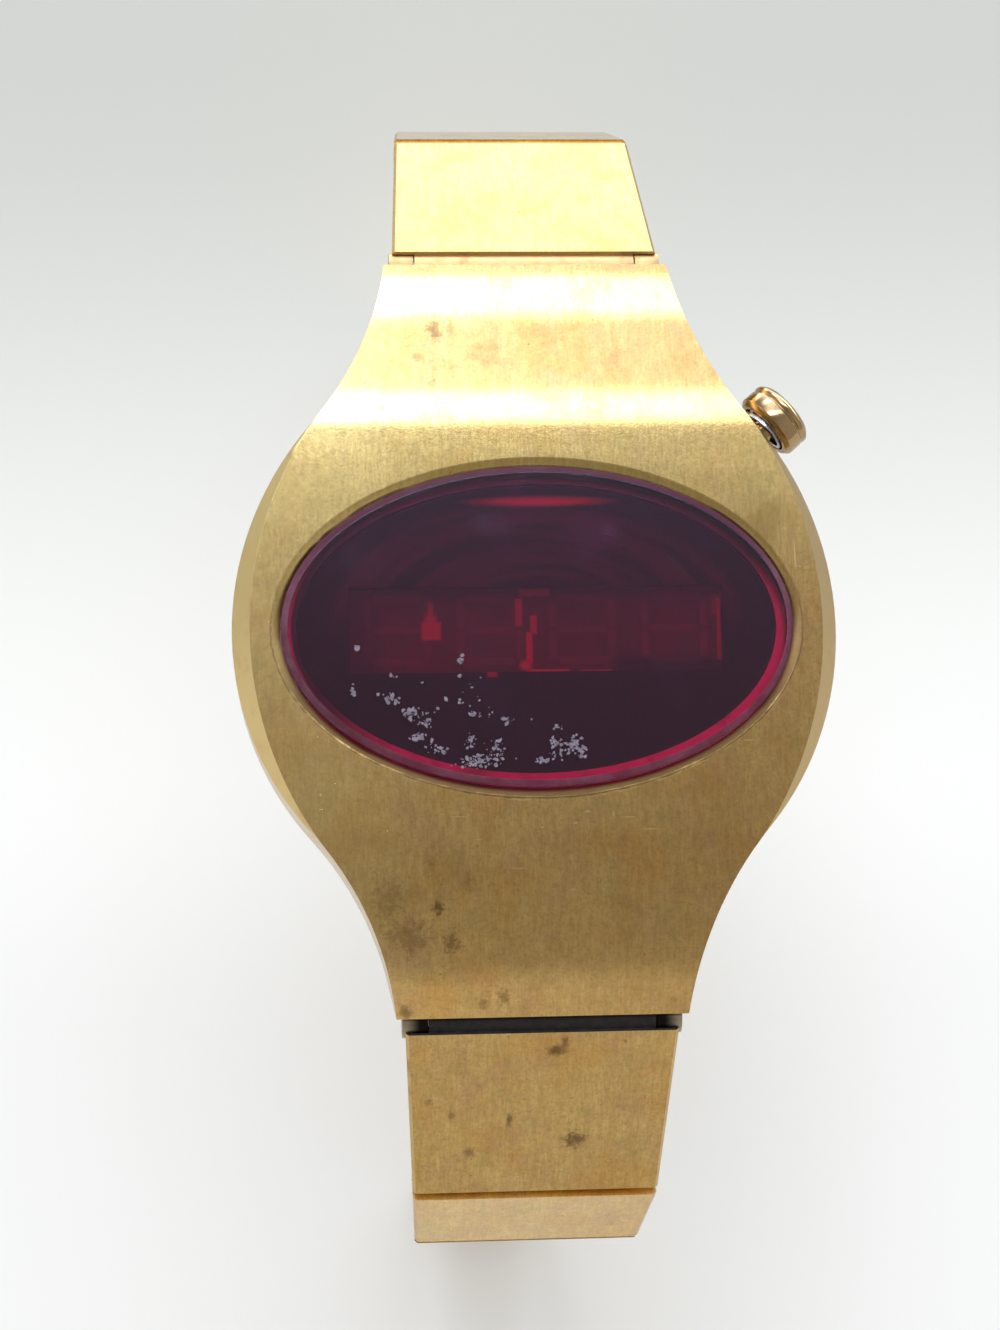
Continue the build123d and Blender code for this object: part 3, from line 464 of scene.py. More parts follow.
# Each scratch on the flat: its centre and its half sizes in millimetres
case_scratches = (
    ((2.9, -12.2), (0.25, 0.12)), ((4.6, -12.4), (0.12, 0.25)), ((1.9, -17.2), (0.4, 0.05)),
    ((-1.6, -15.8), (0.7, 0.05)), ((5.6, -12.6), (0.5, 0.06)), ((7.0, -13.4), (0.6, 0.06)),
    ((-5.4, -12.4), (0.6, 0.05)), ((13.6, -7.7), (0.35, 0.06)), ((17.1, 4.4), (0.05, 1.2)),
    ((-4.2, -13.9), (0.3, 0.06)),
)
SCRATCH_LEVEL = 9.0
SCRATCH_HALF_HEIGHT = 2.0
for centre, half in case_scratches:
    scratch = stain(tree, place, (*centre, SCRATCH_LEVEL), (*half, SCRATCH_HALF_HEIGHT), 0.25)
    bared = math(tree, "MAXIMUM", bared, times(tree, scratch, 0.5))

# The flat has painted shade toward the east and painted light toward the west, and is olive above
# the lens
ABOVE_LENS = ((2.0, 9.0), (17.0, 13.5))
SHADE_EAST_ZONE = (-16.0, 15.0)
LIGHT_WEST_ZONE = (-6.0, -15.0)
above_lens = times(tree, *(rise(tree, north, *zone) for zone in ABOVE_LENS))
for share, colour in (
    # painted shade to the east, then painted light to the west
    (times(tree, rise(tree, east, *SHADE_EAST_ZONE), 0.3), GOLD_BROWN),
    (times(tree, above_lens, 0.35), GOLD_OLIVE),
    (times(tree, rise(tree, east, *LIGHT_WEST_ZONE), 0.28), GOLD_PALE),
    (bared, GOLD_BARED),
    # darker brown on the lip, with painted shade along the lens's edge
    (lip_tone_and_rim_shade, tone(116, 90, 55)),
):
    tinted(tree, shader, share, colour)
worn = times(tree, rise(tree, outward, *WORN_ZONE), times(tree, southward, 0.4))
roughness = shader.inputs["Roughness"].links[0].from_socket
tree.links.new(math(tree, "ADD", worn, roughness), shader.inputs["Roughness"])

# Painted shade darkens the bevels toward 3 o'clock
case_side = polished_gold("case_bevel_gold", tone(222, 194, 134), tone(212, 176, 120), rough=0.18)
tree, shader = parts_of(case_side)
east = east_north(tree, object_place(tree))[0]
tinted(tree, shader, times(tree, rise(tree, east, 4.0, 16.0), 0.85), tone(188, 156, 104))

# Inside the opening the ledge shows through the lens. Painted shade darkens it toward 12 o'clock,
# and toward nine o'clock on all but its outer part
case_inside = polished_gold(
    "case_inside_metal", tone(240, 204, 184), tone(202, 170, 150), rough=0.4)
tree, shader = parts_of(case_inside)
place = object_place(tree)
east, north = east_north(tree, place)
# painted shade on the ledge toward 12 o'clock
tinted(tree, shader, rise(tree, north, 1.0, 5.0), tone(126, 96, 100))
# painted shade toward nine o'clock, on all but the ledge's outer part
painted_shade = times(tree, rise(tree, east, -7.0, -15.0),
               steps(tree, lens_ring(tree, place), 0.968, 0.955))
tinted(tree, shader, painted_shade, tone(70, 52, 54))

# Painted shade, nearly black with a mottled tone, fills the gap at the 6 o'clock lug
gap_shade, tree, shader = finish("gap_painted_shade")
gap_mottle = blotches(tree, object_place(tree), size=0.5, low=0.35, high=0.7)
gap_shade_colour = mixed(tree, gap_mottle, tone(18, 13, 9), tone(44, 34, 25))
tree.links.new(gap_shade_colour, shader.inputs["Base Color"])
tree.links.new(math(tree, "MULTIPLY_ADD", gap_mottle, 0.1, 0.75), shader.inputs["Roughness"])
bumped(tree, shader, gap_mottle, strength=0.4, depth=0.03)

# The ears beside that gap are dull, with painted shade along both edges
dull_ear = polished_gold("dulled_ear_metal", tone(176, 164, 138), tone(110, 96, 76), rough=0.4)
tree, shader = parts_of(dull_ear)
east, north = east_north(tree, object_place(tree))
from_middle = math(tree, "ABSOLUTE", east)
# painted shade along both edges of the 6 o'clock ears
painted_shade = math(tree, "MAXIMUM", rise(tree, from_middle, 9.2, 8.0), rise(tree, from_middle, 9.2, 9.7))
painted_shade = times(tree, painted_shade, rise(tree, north, 0.0, -20.0))
tinted(tree, shader, painted_shade, tone(34, 28, 24))
dull_barrel = polished_gold(
    "dulled_barrel_gold", tone(206, 172, 116), tone(182, 146, 96), rough=0.45)

case_body = dressed("case_body", "case")
for material in (case_top, case_side, case_inside, gap_shade, dull_ear, dull_barrel):
    case_body.data.materials.append(material)
CASE_TOP, CASE_SIDE, CASE_INSIDE, CASE_GAP_SHADE, CASE_EAR, CASE_BARREL = range(6)
LENS_OPENING = (16.9 * MM, 10.7 * MM)
LIP_LEVEL = 8.55 * MM
LUG_TOP_LEVEL = 4.9 * MM
INSIDE_LEVEL = 4.0 * MM
UP_FACING = 0.8
LUG_END = 24.2 * MM
BARREL_START = 25.0 * MM
EAR_START = 7.5 * MM
for face in case_body.data.polygons:
    middle = face.center
    in_opening = hypot(middle.x / LENS_OPENING[0], middle.y / LENS_OPENING[1]) < 1
    if face.normal.z > UP_FACING and middle.z > (LIP_LEVEL if in_opening else LUG_TOP_LEVEL):
        face.material_index = CASE_TOP
    elif in_opening and middle.z > INSIDE_LEVEL:
        face.material_index = CASE_INSIDE
    # the gap at the 6 o'clock lug gets painted shade
    elif middle.y < -LUG_END and abs(middle.x) < EAR_START:
        face.material_index = CASE_GAP_SHADE
    elif abs(middle.y) > BARREL_START:
        face.material_index = CASE_BARREL if middle.y > 0 else CASE_EAR
    else:
        face.material_index = CASE_SIDE

# Lens and its seal
# The lens is a flat oval of red acrylic with a chamfered edge that has gone dull. It is
# worn by years of wiping, and sits on a thin bonded ring of rubber on the case's ledge.

FINE_ROUNDING = 0.05 * MM
ACRYLIC_IOR = 1.49
acrylic, tree, shader = finish("red_acrylic")
for label, value in (
    ("Base Color", (0.56, 0.035, 0.23, 1.0)), ("Metallic", 0.0), ("Transmission Weight", 1.0),
    ("IOR", ACRYLIC_IOR), ("Specular Tint", (0.9, 0.8, 1.0, 1.0)), ("Coat Weight", 0.15),
    ("Coat Roughness", 0.25),
):
    shader.inputs[label].default_value = value
place = object_place(tree)
ring_space = node(tree, "ShaderNodeMapping", Vector=place, Scale=(1.0, 1.55, 1.0))
wipe = node(tree, "ShaderNodeTexWave", {"wave_type": "RINGS", "rings_direction": "Z"},
            Vector=ring_space.outputs[0], Scale=900.0, Distortion=6.0, Detail=3.0,
            Detail_Scale=40.0)
haze = blotches(tree, place, size=5.0, low=0.45, high=0.75)
scratched = times(tree, steps(tree, wipe.outputs["Fac"], 0.8, 1.0), haze)
tree.links.new(math(tree, "MULTIPLY_ADD", scratched, 0.12, 0.06), shader.inputs["Roughness"])
bumped(tree, shader, scratched, strength=0.08, depth=0.01)
shade = node(tree, "ShaderNodeBsdfTransparent", Color=(0.78, 0.16, 0.42, 1.0))
path = node(tree, "ShaderNodeLightPath")
through = node(tree, "ShaderNodeMixShader", _0=path.outputs["Is Shadow Ray"],
               _1=shader.outputs[0], _2=shade.outputs[0])
tree.links.new(through.outputs[0], tree.nodes["Material Output"].inputs["Surface"])

dull_edge, tree, shader = finish("dulled_acrylic_edge")
place = object_place(tree)
scuffed = blotches(tree, place, size=1.4, low=0.3, high=0.75)
scuffed_colour = mixed(tree, scuffed, tone(106, 58, 70), tone(130, 90, 104))
tree.links.new(scuffed_colour, shader.inputs["Base Color"])
# painted shade darkens the lens edge toward 12 o'clock
tinted(tree, shader, rise(tree, east_north(tree, place)[1], 2.0, 7.0), tone(88, 42, 60))
tree.links.new(math(tree, "MULTIPLY_ADD", scuffed, 0.2, 0.4), shader.inputs["Roughness"])
for label, value in (
    ("Transmission Weight", 0.15), ("Specular IOR Level", 0.08), ("IOR", ACRYLIC_IOR),
):
    shader.inputs[label].default_value = value
bumped(tree, shader, scuffed, strength=0.3, depth=0.02)

lens = dressed("lens", "case", rounding=FINE_ROUNDING)
for material in (acrylic, dull_edge):
    lens.data.materials.append(material)
LENS_CLEAR, LENS_EDGE = range(2)
EDGE_SLANT = (0.2, 0.95)
for face in lens.data.polygons:
    slanted = EDGE_SLANT[0] < face.normal.z < EDGE_SLANT[1]
    face.material_index = LENS_EDGE if slanted else LENS_CLEAR

# Flakes of dried residue cling to the lens, most of them over its lower left. Each patch has
# its centre, its spread each way in millimetres, and its number of flakes
flake_patches = (
    ((-11.9, -1.3), (0.16, 0.16), 12), ((-5.2, -2.3), (0.14, 0.35), 14),
    ((-5.2, -3.3), (0.15, 0.1), 5), ((-9.6, -3.3), (0.3, 0.12), 8),
    ((-12.2, -4.1), (0.16, 0.4), 16), ((-9.8, -4.8), (0.5, 0.3), 26),
    ((-8.6, -5.7), (0.45, 0.3), 42), ((-7.7, -6.0), (0.9, 0.6), 30),
    ((-8.0, -7.2), (0.5, 0.3), 22), ((-6.9, -8.1), (0.6, 0.4), 26),
    ((-4.0, -5.8), (0.8, 0.2), 14), ((-2.4, -6.3), (0.5, 0.3), 10),
    ((-4.7, -7.6), (0.4, 0.5), 22), ((-2.9, -7.9), (0.6, 0.5), 22),
    ((-4.4, -8.9), (1.0, 0.4), 60), ((-3.2, -8.6), (0.8, 0.5), 26),
    ((1.1, -6.7), (0.5, 0.2), 8), ((0.9, -7.7), (0.5, 0.4), 22),
    ((2.0, -7.9), (0.45, 0.5), 50), ((2.6, -8.3), (0.3, 0.4), 26),
    ((0.0, -8.9), (0.5, 0.25), 22), ((0.9, -8.5), (0.5, 0.4), 16),
    ((-6.0, -5.0), (3.5, 1.6), 16),
)
FLAKE_SIZES = (0.035, 0.17)
FLAKE_THICKNESS = 0.012
FLAKE_SIDES = 6
FLAKE_UNEVEN = (0.45, 0.85)
FLAKE_SCATTER = 0.55
# The flakes lie at a few levels, so that no two faces share a plane where they overlap
FLAKE_SUNK = 0.9
FLAKE_LEVELS = 8
FLAKE_STEP = 0.0012
lens_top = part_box("lens")[1][2]
chance = Random(7)
shape = bmesh.new()
for (x, y), (spread_x, spread_y), count in flake_patches:
    for number in range(count):
        size = FLAKE_SIZES[0] + (FLAKE_SIZES[1] - FLAKE_SIZES[0]) * chance.random() ** 2
        flake = bmesh.ops.create_circle(
            shape, cap_ends=True, segments=FLAKE_SIDES, radius=size * MM)["verts"]
        for corner in flake:
            corner.co *= FLAKE_UNEVEN[0] + FLAKE_UNEVEN[1] * chance.random()
        here_x = x + chance.gauss(0, FLAKE_SCATTER) * spread_x
        here_y = y + chance.gauss(0, FLAKE_SCATTER) * spread_y
        sunk = FLAKE_SUNK * FLAKE_THICKNESS - number % FLAKE_LEVELS * FLAKE_STEP
        turn = Matrix.Rotation(chance.random() * pi, 3, "Z")
        bmesh.ops.rotate(shape, verts=flake, matrix=turn)
        bmesh.ops.translate(
            shape, verts=flake, vec=Vector((here_x * MM, here_y * MM, lens_top - sunk * MM)))
raised = bmesh.ops.extrude_face_region(shape, geom=list(shape.faces))
lifted = [part for part in raised["geom"] if isinstance(part, bmesh.types.BMVert)]
bmesh.ops.translate(shape, verts=lifted, vec=(0, 0, FLAKE_THICKNESS * MM))
bmesh.ops.recalc_face_normals(shape, faces=shape.faces)
flakes = added("lens_residue", shape)
residue, tree, shader = finish("dried_residue")
powder = blotches(tree, object_place(tree), size=0.3, low=0.35, high=0.7)
powder_colour = mixed(tree, powder, tone(114, 102, 110), tone(152, 138, 144))
tree.links.new(powder_colour, shader.inputs["Base Color"])
tree.links.new(math(tree, "MULTIPLY_ADD", powder, 0.1, 0.8), shader.inputs["Roughness"])
flakes.data.materials.append(residue)
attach(flakes, "case")

# Display
# A black oval plate masks the module. Through its window shows the maroon digit block, with seven
# light bars to a digit, unlit.
# Painted reflections show dim red behind the lens, and painted shade darkens the window's edges.


def matt(name, low, high, size, rough):
    """A moulded or painted finish with a fine uneven tone, its patches' size in millimetres."""
    material, tree, shader = finish(name)
    place = object_place(tree)
    uneven = blotches(tree, place, size=size, low=0.35, high=0.7)
    fine = blotches(tree, place, size=size / 8, low=0.4, high=0.7)
    tree.links.new(mixed(tree, uneven, low, high), shader.inputs["Base Color"])
    tree.links.new(math(tree, "MULTIPLY_ADD", uneven, 0.15, rough), shader.inputs["Roughness"])
    bumped(tree, shader, fine, strength=0.2, depth=0.01)
    return material


# Mark: a box-shaped mark with soft edges, at a place of its own
mark_group, start, end = group(
    "mark",
    [("Place", "Vector", None), ("Centre", "Vector", (0, 0, 0)),
     ("Half", "Vector", (MM, MM, 10 * MM)), ("Soft", "Float", 0.15)],
    [("Mask", "Float")],
)
offset = vector(mark_group, "SUBTRACT", start.outputs["Place"], start.outputs["Centre"])
beyond = vector(mark_group, "SUBTRACT", vector(mark_group, "ABSOLUTE", offset),
                start.outputs["Half"])
outside = math(mark_group, "MAXIMUM", *east_north(mark_group, beyond))
soft_width = times(mark_group, start.outputs["Soft"], MM)
mark_group.links.new(steps(mark_group, outside, soft_width, 0.0), end.inputs["Mask"])

DISPLAY_LEVEL = 6.7
MARK_HALF_HEIGHT = 3.0


def marked(material, marks, colour):
    """Adds marks in another colour to a finish: boxes with soft edges, and ragged rounds.

    Each mark has its form, its centre and half sizes in millimetres, how soft or how ragged
    it is, and how strong."""
    tree, shader = parts_of(material)
    place = object_place(tree)
    marking = 0.0
    for form, centre, half, edge, strength in marks:
        middle = (*centre, DISPLAY_LEVEL)
        size = (*half, MARK_HALF_HEIGHT)
        if form == "round":
            here = stain(tree, place, middle, size, ragged=edge)
        else:
            here = placed(tree, mark_group, Place=place, Centre=[c * MM for c in middle],
                          Half=[s * MM for s in size], Soft=edge)["Mask"]
        marking = math(tree, "MAXIMUM", marking, times(tree, here, strength))
    tinted(tree, shader, marking, colour)


def coat(names, material):
    """Puts one finish on CAD pieces whose shape is right as it is."""
    for name in names:
        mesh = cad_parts[name].data
        mesh.materials.clear()
        mesh.materials.append(material)


PAINTED_REFLECTION_RED = tone(255, 96, 110)
mask_paint = matt("mask_black_paint", tone(8, 8, 9), tone(17, 14, 18), size=2.0, rough=0.5)
# painted reflections: a red streak of light near the top of the mask, and a small glint
mask_reflections = (
    ("round", (0.4, 8.5), (4.7, 0.36), 0.12, 1.0),
    ("box", (-3.0, -3.0), (0.25, 0.1), 0.15, 0.4),
)
marked(mask_paint, mask_reflections, PAINTED_REFLECTION_RED)
# The mask's upper half is lighter in faint arcs that follow the opening of the case: a painted
# reflection of the lens's sheen, in the pattern of its wipe marks
tree, shader = parts_of(mask_paint)
shader.inputs["Specular IOR Level"].default_value = 0.15
place = object_place(tree)
east, north = east_north(tree, place)
ring_place = node(tree, "ShaderNodeMapping", Vector=place, Scale=(0.63, 1.0, 0.0))
ring = vector(tree, "LENGTH", ring_place.outputs[0])
drawn_out = node(tree, "ShaderNodeCombineXYZ", X=ring, Y=times(tree, east, 0.07), Z=0.0)
arcs = blotches(tree, drawn_out.outputs[0], size=1.3, low=0.36, high=0.62)
painted_sheen_arcs = times(tree, times(tree, arcs, rise(tree, north, -1.5, 3.5)), rise(tree, ring, 8.9, 8.3))
tinted(tree, shader, painted_sheen_arcs, tone(70, 33, 47))
coat(["display_mask"], mask_paint)

panel_plastic = matt(
    "panel_maroon_plastic", tone(78, 24, 34), tone(96, 30, 42), size=1.5, rough=0.4)
parts_of(panel_plastic)[1].inputs["Specular IOR Level"].default_value = 0.3
coat(["display_panel"], panel_plastic)
bar_plastic = matt(
    "segment_red_plastic", tone(86, 28, 38), tone(106, 36, 48), size=0.8, rough=0.35)
coat(["digit_segments"], bar_plastic)
# painted shade where the mask's window wall shades the panel: its lower right, top edge and left
# edge
panel_painted_shade = (
    ("box", (10.2, -3.1), (4.6, 0.75), 0.9, 0.9),
    ("box", (0.0, 3.2), (14.0, 0.3), 2.2, 0.75),
    ("box", (-11.6, 0.0), (0.4, 3.0), 1.6, 0.6),
)
# painted reflections of the light bars and their frame, dim red through the lens
panel_reflections = (
    ("box", (-6.95, -0.05), (0.55, 0.5), 0.18, 0.45),
    ("round", (-6.95, 0.6), (0.5, 0.6), 0.1, 0.44),
    ("round", (-6.95, 1.1), (0.22, 0.9), 0.1, 0.36),
    ("box", (-1.17, 1.15), (0.16, 0.85), 0.12, 0.3),
    ("box", (-0.1, 2.45), (0.9, 0.16), 0.2, 0.14),
    ("box", (-0.2, 0.3), (0.14, 0.55), 0.14, 0.45),
    ("box", (-0.5, -1.2), (0.14, 0.95), 0.14, 0.5),
    ("round", (-0.75, -2.4), (0.5, 0.4), 0.1, 0.6),
    ("box", (0.75, -2.85), (1.25, 0.12), 0.12, 0.6),
    ("box", (3.9, -2.85), (0.95, 0.06), 0.12, 0.45),
    ("box", (12.1, -0.1), (0.07, 2.0), 0.12, 0.32),
    ("box", (12.0, 1.5), (0.2, 0.5), 0.3, 0.12),
)
for material in (panel_plastic, bar_plastic):
    marked(material, panel_painted_shade, tone(12, 8, 10))
    marked(material, panel_reflections, PAINTED_REFLECTION_RED)
rubber = matt("seal_rubber", tone(24, 24, 25), tone(40, 40, 41), size=1.0, rough=0.6)
coat(["lens_seal", "back_gasket", "pusher_ring"], rubber)

# Module
# The module is a black moulded frame under a green board. Two steel cells lie in its
# wells under a screwed strap, beside the chip's resin, the quartz can and the trimmer.

for piece, name, low, high, size, rough in (
    ("module_frame", "frame_moulding", tone(30, 30, 32), tone(44, 44, 46), 2.0, 0.5),
    ("circuit_board", "board_lacquer", tone(20, 74, 44), tone(30, 96, 58), 3.0, 0.35),
    ("logic_chip", "chip_resin", tone(22, 22, 24), tone(34, 34, 36), 1.2, 0.3),
):
    coat([piece], matt(name, low, high, size, rough))
plain_steel = polished_gold("plain_steel", tone(205, 206, 208), tone(168, 168, 170), rough=0.25)
cell_steel = polished_gold("cell_steel", tone(222, 222, 222), tone(190, 190, 192), rough=0.3)
coat(["cell_left", "cell_right"], cell_steel)
coat(["cell_strap", "strap_screws", "quartz_crystal", "trimmer", "contact_leaf"], plain_steel)

# Case back
# The back is turned stainless steel with fine circular tool marks. It snaps in over a
# gasket and lifts off at the pry notch on its edge.

turned_steel, tree, shader = finish("turned_steel")
place = object_place(tree)
tool_marks = node(tree, "ShaderNodeTexWave", {"wave_type": "RINGS", "rings_direction": "Z"},
                  Vector=place, Scale=1500.0, Distortion=1.2, Detail=3.0,
                  Detail_Scale=8.0).outputs["Fac"]
scuffs = blotches(tree, place, size=4.0, low=0.45, high=0.7)
back_colour = mixed(tree, scuffs, tone(206, 205, 202), tone(176, 174, 170))
tree.links.new(back_colour, shader.inputs["Base Color"])
shader.inputs["Metallic"].default_value = 1.0
tree.links.new(math(tree, "MULTIPLY_ADD", tool_marks, 0.12, 0.25), shader.inputs["Roughness"])
bumped(tree, shader, tool_marks, strength=0.25, depth=0.01)
case_back = dressed("case_back", "case")
case_back.data.materials.append(turned_steel)

# Push-button
# The button is a turned and polished gold cap with a groove near its face. It slides in
# a steel tube pressed into the case at two o'clock, against a small return spring.

button_gold = polished_gold("button_gold", tone(178, 150, 108), tone(136, 106, 76), rough=0.1)
pusher = dressed("pusher", "pusher", rounding=FINE_ROUNDING)
pusher.data.materials.append(button_gold)
coat(["pusher_tube", "pusher_clip"], plain_steel)
# The spring is attached to no moving body: its place is baked into its shape
spring = dressed("pusher_spring", None, rounding=0)
spring.data.materials.append(plain_steel)
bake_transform(spring)

# Bracelet links
# Each link is a solid brushed bar that narrows towards the clasp, with a barrel at one end
# and two ears at the other. Steel pins hold link to link, and spring bars hold the lugs.

link_stains = {
    "link_12_1": (
        ((-2.9, 33.0, 0.5), (0.3, 0.4, 2.0), 0.6, 0.8),
        ((4.5, 30.5, 0.0), (0.6, 2.5, 2.0), 0.25, 1.2),
    ),
    "link_6_1": (
        ((1.0, -27.5, 3.6), (0.75, 0.4, 2.0), 0.75, 0.6),
        ((1.5, -27.0, 4.0), (0.3, 0.45, 2.0), 0.6, 0.7),
        ((-2.0, -32.0, -1.0), (0.3, 0.55, 2.0), 0.8, 0.5),
        ((2.5, -33.4, -2.0), (0.9, 0.7, 2.0), 0.75, 0.9),
        ((-7.4, -30.7, 0.0), (0.35, 0.35, 2.0), 0.5, 0.8),
        ((-5.9, -31.6, 0.0), (0.3, 0.3, 2.0), 0.45, 0.8),
        ((-4.6, -34.2, -2.0), (0.4, 0.4, 2.0), 0.5, 0.8),
    ),
}
link_side = polished_gold("link_side_gold", tone(204, 170, 114), tone(180, 144, 94), rough=0.26)
link_back = brushed_gold("link_back_gold", brown=0.3, rough=0.32)
plain_link_top = brushed_gold("link_top_gold", brown=0.3)
LINK_TOP, LINK_SIDE, LINK_BACK, LINK_GAP_SHADE, LINK_BARREL = range(5)
SIDES = ("12", "6")
LINKS = range(1, 6)
LINK_SIDE_FACING = 0.6
LINK_TOP_FACING = 0.8
LINK_END_FACING = 0.3
LUG_PIVOT = (25.385 * MM, 3.679 * MM)
LUG_BARREL = 1.25 * MM
for side in SIDES:
    for count in LINKS:
        name = f"link_{side}_{count}"
        link = dressed(name, name, layout="bracelet")
        top = plain_link_top
        if name in link_stains:
            top = brushed_gold(name + "_gold", link_stains[name], brown=0.3)
        for material in (top, link_side, link_back, gap_shade, dull_barrel):
            link.data.materials.append(material)
        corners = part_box(name)
        outward_y = 1 if corners[0][1] + corners[1][1] > 0 else -1
        for face in link.data.polygons:
            turned_out = face.normal.z + face.normal.y * outward_y
            from_pivot = hypot(abs(face.center.y) - LUG_PIVOT[0], face.center.z - LUG_PIVOT[1])
            toward_case = face.normal.z > LINK_END_FACING and face.normal.y * outward_y < 0
            # faces in the gap round the pivot get the gap's painted shade
            if from_pivot < LUG_BARREL:
                face.material_index = LINK_BARREL if outward_y > 0 else LINK_GAP_SHADE
            elif from_pivot < 2 * LUG_BARREL and toward_case:
                face.material_index = LINK_GAP_SHADE
            elif abs(face.normal.x) > LINK_SIDE_FACING:
                face.material_index = LINK_SIDE
            else:
                face.material_index = LINK_TOP if turned_out > LINK_TOP_FACING else LINK_BACK
pin_names = [f"pin_{side}_{count}" for side in SIDES for count in LINKS]
coat(pin_names + ["spring_bar_12", "spring_bar_6", "flap_pin"], plain_steel)

# Clasp
# The clasp is folded gold-plated sheet: a tray with guide lips, a flap that is hinged in
# it, and a slotted plate on the other half of the bracelet that slides into the tray.

sheet_gold = brushed_gold("clasp_sheet_gold")
for name, body in (("clasp_tray", "clasp"), ("clasp_flap", "flap"), ("ladder_plate", "ladder")):
    piece = dressed(name, body, rounding=FINE_ROUNDING, layout="bracelet")
    piece.data.materials.append(sheet_gold)

# Floor, light and camera
# The watch is shown over a pale matt floor, under a sky with soft bands of studio light.
# The camera looks down on the face, a little from the south-west.

FLOOR_HALF = 1.5
FLOOR_DROP = 0.5 * MM
FLOOR_FAR = (0.676, 0.655, 0.546, 1)
FLOOR_NEAR = (0.848, 0.812, 0.70, 1)
# Places on the floor, in millimetres north of the watch's middle, where a change starts and
# where it ends
NEAR_COLOUR = (60, -30)
GLOW = (70, 5)
NEAR_DIMMING = (0, -26)
TABLE_EDGE = (120, 260)
BEYOND_EDGE = (320, 420)
shape = bmesh.new()
bmesh.ops.create_grid(shape, x_segments=1, y_segments=1, size=FLOOR_HALF)
bmesh.ops.translate(shape, verts=shape.verts, vec=(0, 0, cad_box[0][2] - FLOOR_DROP))
floor = added("floor", shape)
pale_floor, tree, shader = finish("pale_floor")
shader.inputs["Roughness"].default_value = 0.9
shader.inputs["Specular IOR Level"].default_value = 0.1
north = east_north(tree, object_place(tree))[1]
# the floor's colour is painted lighter toward the camera, a painted fall of light across it
floor_colour = mixed(tree, rise(tree, north, *NEAR_COLOUR), FLOOR_FAR, FLOOR_NEAR)
tree.links.new(floor_colour, shader.inputs["Base Color"])
# The floor glows a little for the camera, and far to the north it is a bright table edge
# that the upper links mirror
path = node(tree, "ShaderNodeLightPath").outputs
seen = math(tree, "ADD", path["Is Camera Ray"], path["Is Transmission Ray"], clamp=True)
shine = math(tree, "SUBTRACT", times(tree, rise(tree, north, *GLOW), 0.215),
             times(tree, rise(tree, north, *NEAR_DIMMING), 0.075))
table_edge = math(tree, "SUBTRACT", times(tree, rise(tree, north, *TABLE_EDGE), 5.0),
                  times(tree, rise(tree, north, *BEYOND_EDGE), 3.0))
mirrored = times(tree, path["Is Glossy Ray"], table_edge)
glow = math(tree, "ADD", times(tree, seen, shine), mirrored)
lit = node(tree, "ShaderNodeEmission", Strength=glow)
both = node(tree, "ShaderNodeAddShader", _0=shader.outputs[0], _1=lit.outputs[0])
tree.links.new(both.outputs[0], tree.nodes["Material Output"].inputs["Surface"])
floor.data.materials.append(pale_floor)

# The sky that the metal sees, by its angle in degrees north of straight up: two bright bands
# give the two white bars of light across the upper lugs
SKY_LEVELS = (
    (-90, 0.52), (-80, 0.52), (-62, 0.60), (-51, 0.61), (-41, 0.37), (4, 0.34), (8.5, 0.40),
    (12.5, 0.53), (14.2, 0.68), (15.6, 5.2), (23.6, 5.2), (27, 2.0), (54, 1.9), (58, 5.4),
    (70, 5.4), (74, 1.8), (84, 1.8), (88, 2.4), (90, 2.4),
)
SKY_PEAK = 7.0
SIDE_LEVEL = 0.5
SEEN_LEVEL = 0.93
BANDS_EAST = 0.05
BANDS_FADE = (0.55, 0.25)
EAST_FADE = (-0.1, 0.38)
WEST_GAIN = 1.42
EAST_LOSS = 0.95
COOL_ANGLES = (radians(4), radians(17))
WARM_LIGHT = (1.04, 1.0, 0.97, 1)
COOL_LIGHT = (0.94, 1.04, 1.28, 1)
world = bpy.data.worlds.new("studio")
bpy.context.scene.world = world
world.use_nodes = True
tree = world.node_tree
background = tree.nodes["Background"]
direction = node(tree, "ShaderNodeTexCoord").outputs["Generated"]
parts = node(tree, "ShaderNodeSeparateXYZ", Vector=direction).outputs
north = math(tree, "ARCTAN2", parts["Y"], parts["Z"])
share = math(tree, "MULTIPLY_ADD", north, 1 / pi, 0.5, clamp=True)
sky = node(tree, "ShaderNodeValToRGB", _0=share)
ramp = sky.color_ramp
while len(ramp.elements) > 1:
    ramp.elements.remove(ramp.elements[-1])
for index, (angle, level) in enumerate(SKY_LEVELS):
    position = angle / 180 + 0.5
    spot = ramp.elements[0] if index == 0 else ramp.elements.new(position)
    spot.position = position
    spot.color = (level / SKY_PEAK, level / SKY_PEAK, level / SKY_PEAK, 1)
red = node(tree, "ShaderNodeSeparateColor", Color=sky.outputs[0]).outputs[0]
levels = times(tree, red, SKY_PEAK)
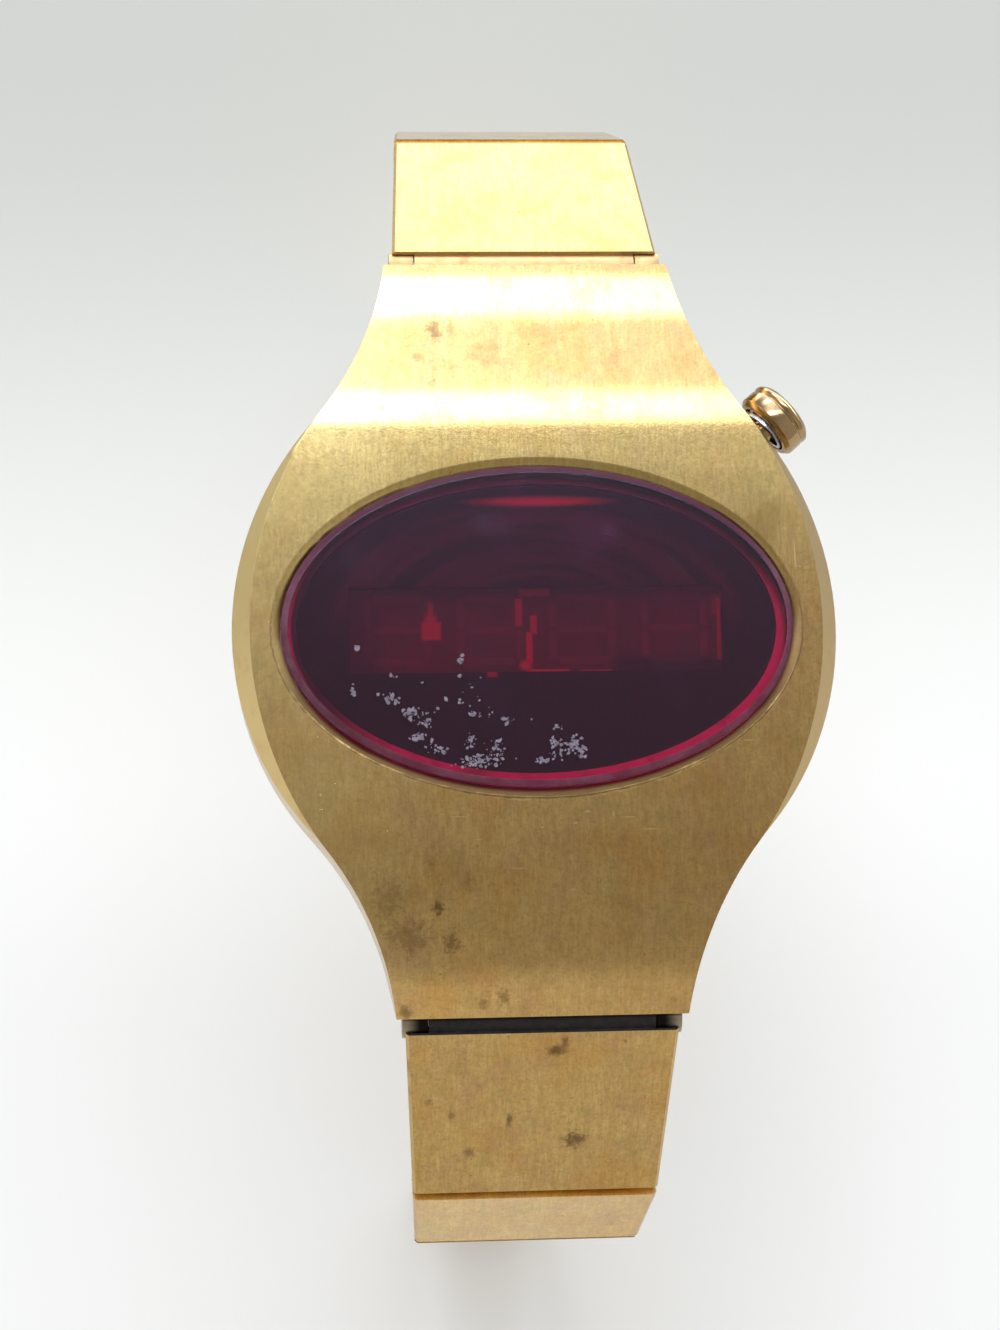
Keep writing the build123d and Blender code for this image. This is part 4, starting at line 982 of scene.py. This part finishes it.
# The bands fade out to both sides, and are dimmer to the east
aside = math(tree, "ABSOLUTE", math(tree, "SUBTRACT", parts["X"], BANDS_EAST))
central = steps(tree, aside, *BANDS_FADE)
eastward = steps(tree, parts["X"], *EAST_FADE)
gain = math(tree, "MULTIPLY_ADD", eastward, -EAST_LOSS, WEST_GAIN)
banded = times(tree, math(tree, "SUBTRACT", levels, SIDE_LEVEL), central)
light_level = math(tree, "MULTIPLY_ADD", banded, gain, SIDE_LEVEL)
camera_ray = node(tree, "ShaderNodeLightPath").outputs["Is Camera Ray"]
level = node(tree, "ShaderNodeMix", {"data_type": "FLOAT"},
             _0=camera_ray, _2=light_level, _3=SEEN_LEVEL)
tree.links.new(level.outputs[0], background.inputs["Strength"])
# The northern light is cooler
cool = times(tree, steps(tree, north, *COOL_ANGLES), math(tree, "SUBTRACT", 1.0, camera_ray))
tree.links.new(mixed(tree, cool, WARM_LIGHT, COOL_LIGHT), background.inputs["Color"])

# The camera stands where the photograph was taken from
TARGET = Vector((-2.525, -2.467, 8.0)) * MM
DISTANCE = 183.09 * MM
TILT = radians(8.839)
AZIMUTH = radians(-28.19)
ROLL = radians(-1.296)
FOCAL = 75.8
SENSOR_WIDTH = 36.0
back = Vector((sin(AZIMUTH) * sin(TILT), -cos(AZIMUTH) * sin(TILT), cos(TILT)))
right = Vector((0, 1, 0)).cross(back).normalized()
up = back.cross(right)
right, up = right * cos(ROLL) + up * sin(ROLL), up * cos(ROLL) - right * sin(ROLL)
eye = TARGET + back * DISTANCE
camera_data = bpy.data.cameras.new("camera")
camera_data.lens = FOCAL
camera_data.sensor_width = SENSOR_WIDTH
camera_data.clip_start = 10 * MM
camera = bpy.data.objects.new("camera", camera_data)
camera.matrix_world = Matrix((
    (right.x, up.x, back.x, eye.x),
    (right.y, up.y, back.y, eye.y),
    (right.z, up.z, back.z, eye.z),
    (0, 0, 0, 1),
))
bpy.context.scene.collection.objects.link(camera)
bpy.context.scene.camera = camera
bpy.context.scene.view_settings.view_transform = "Standard"
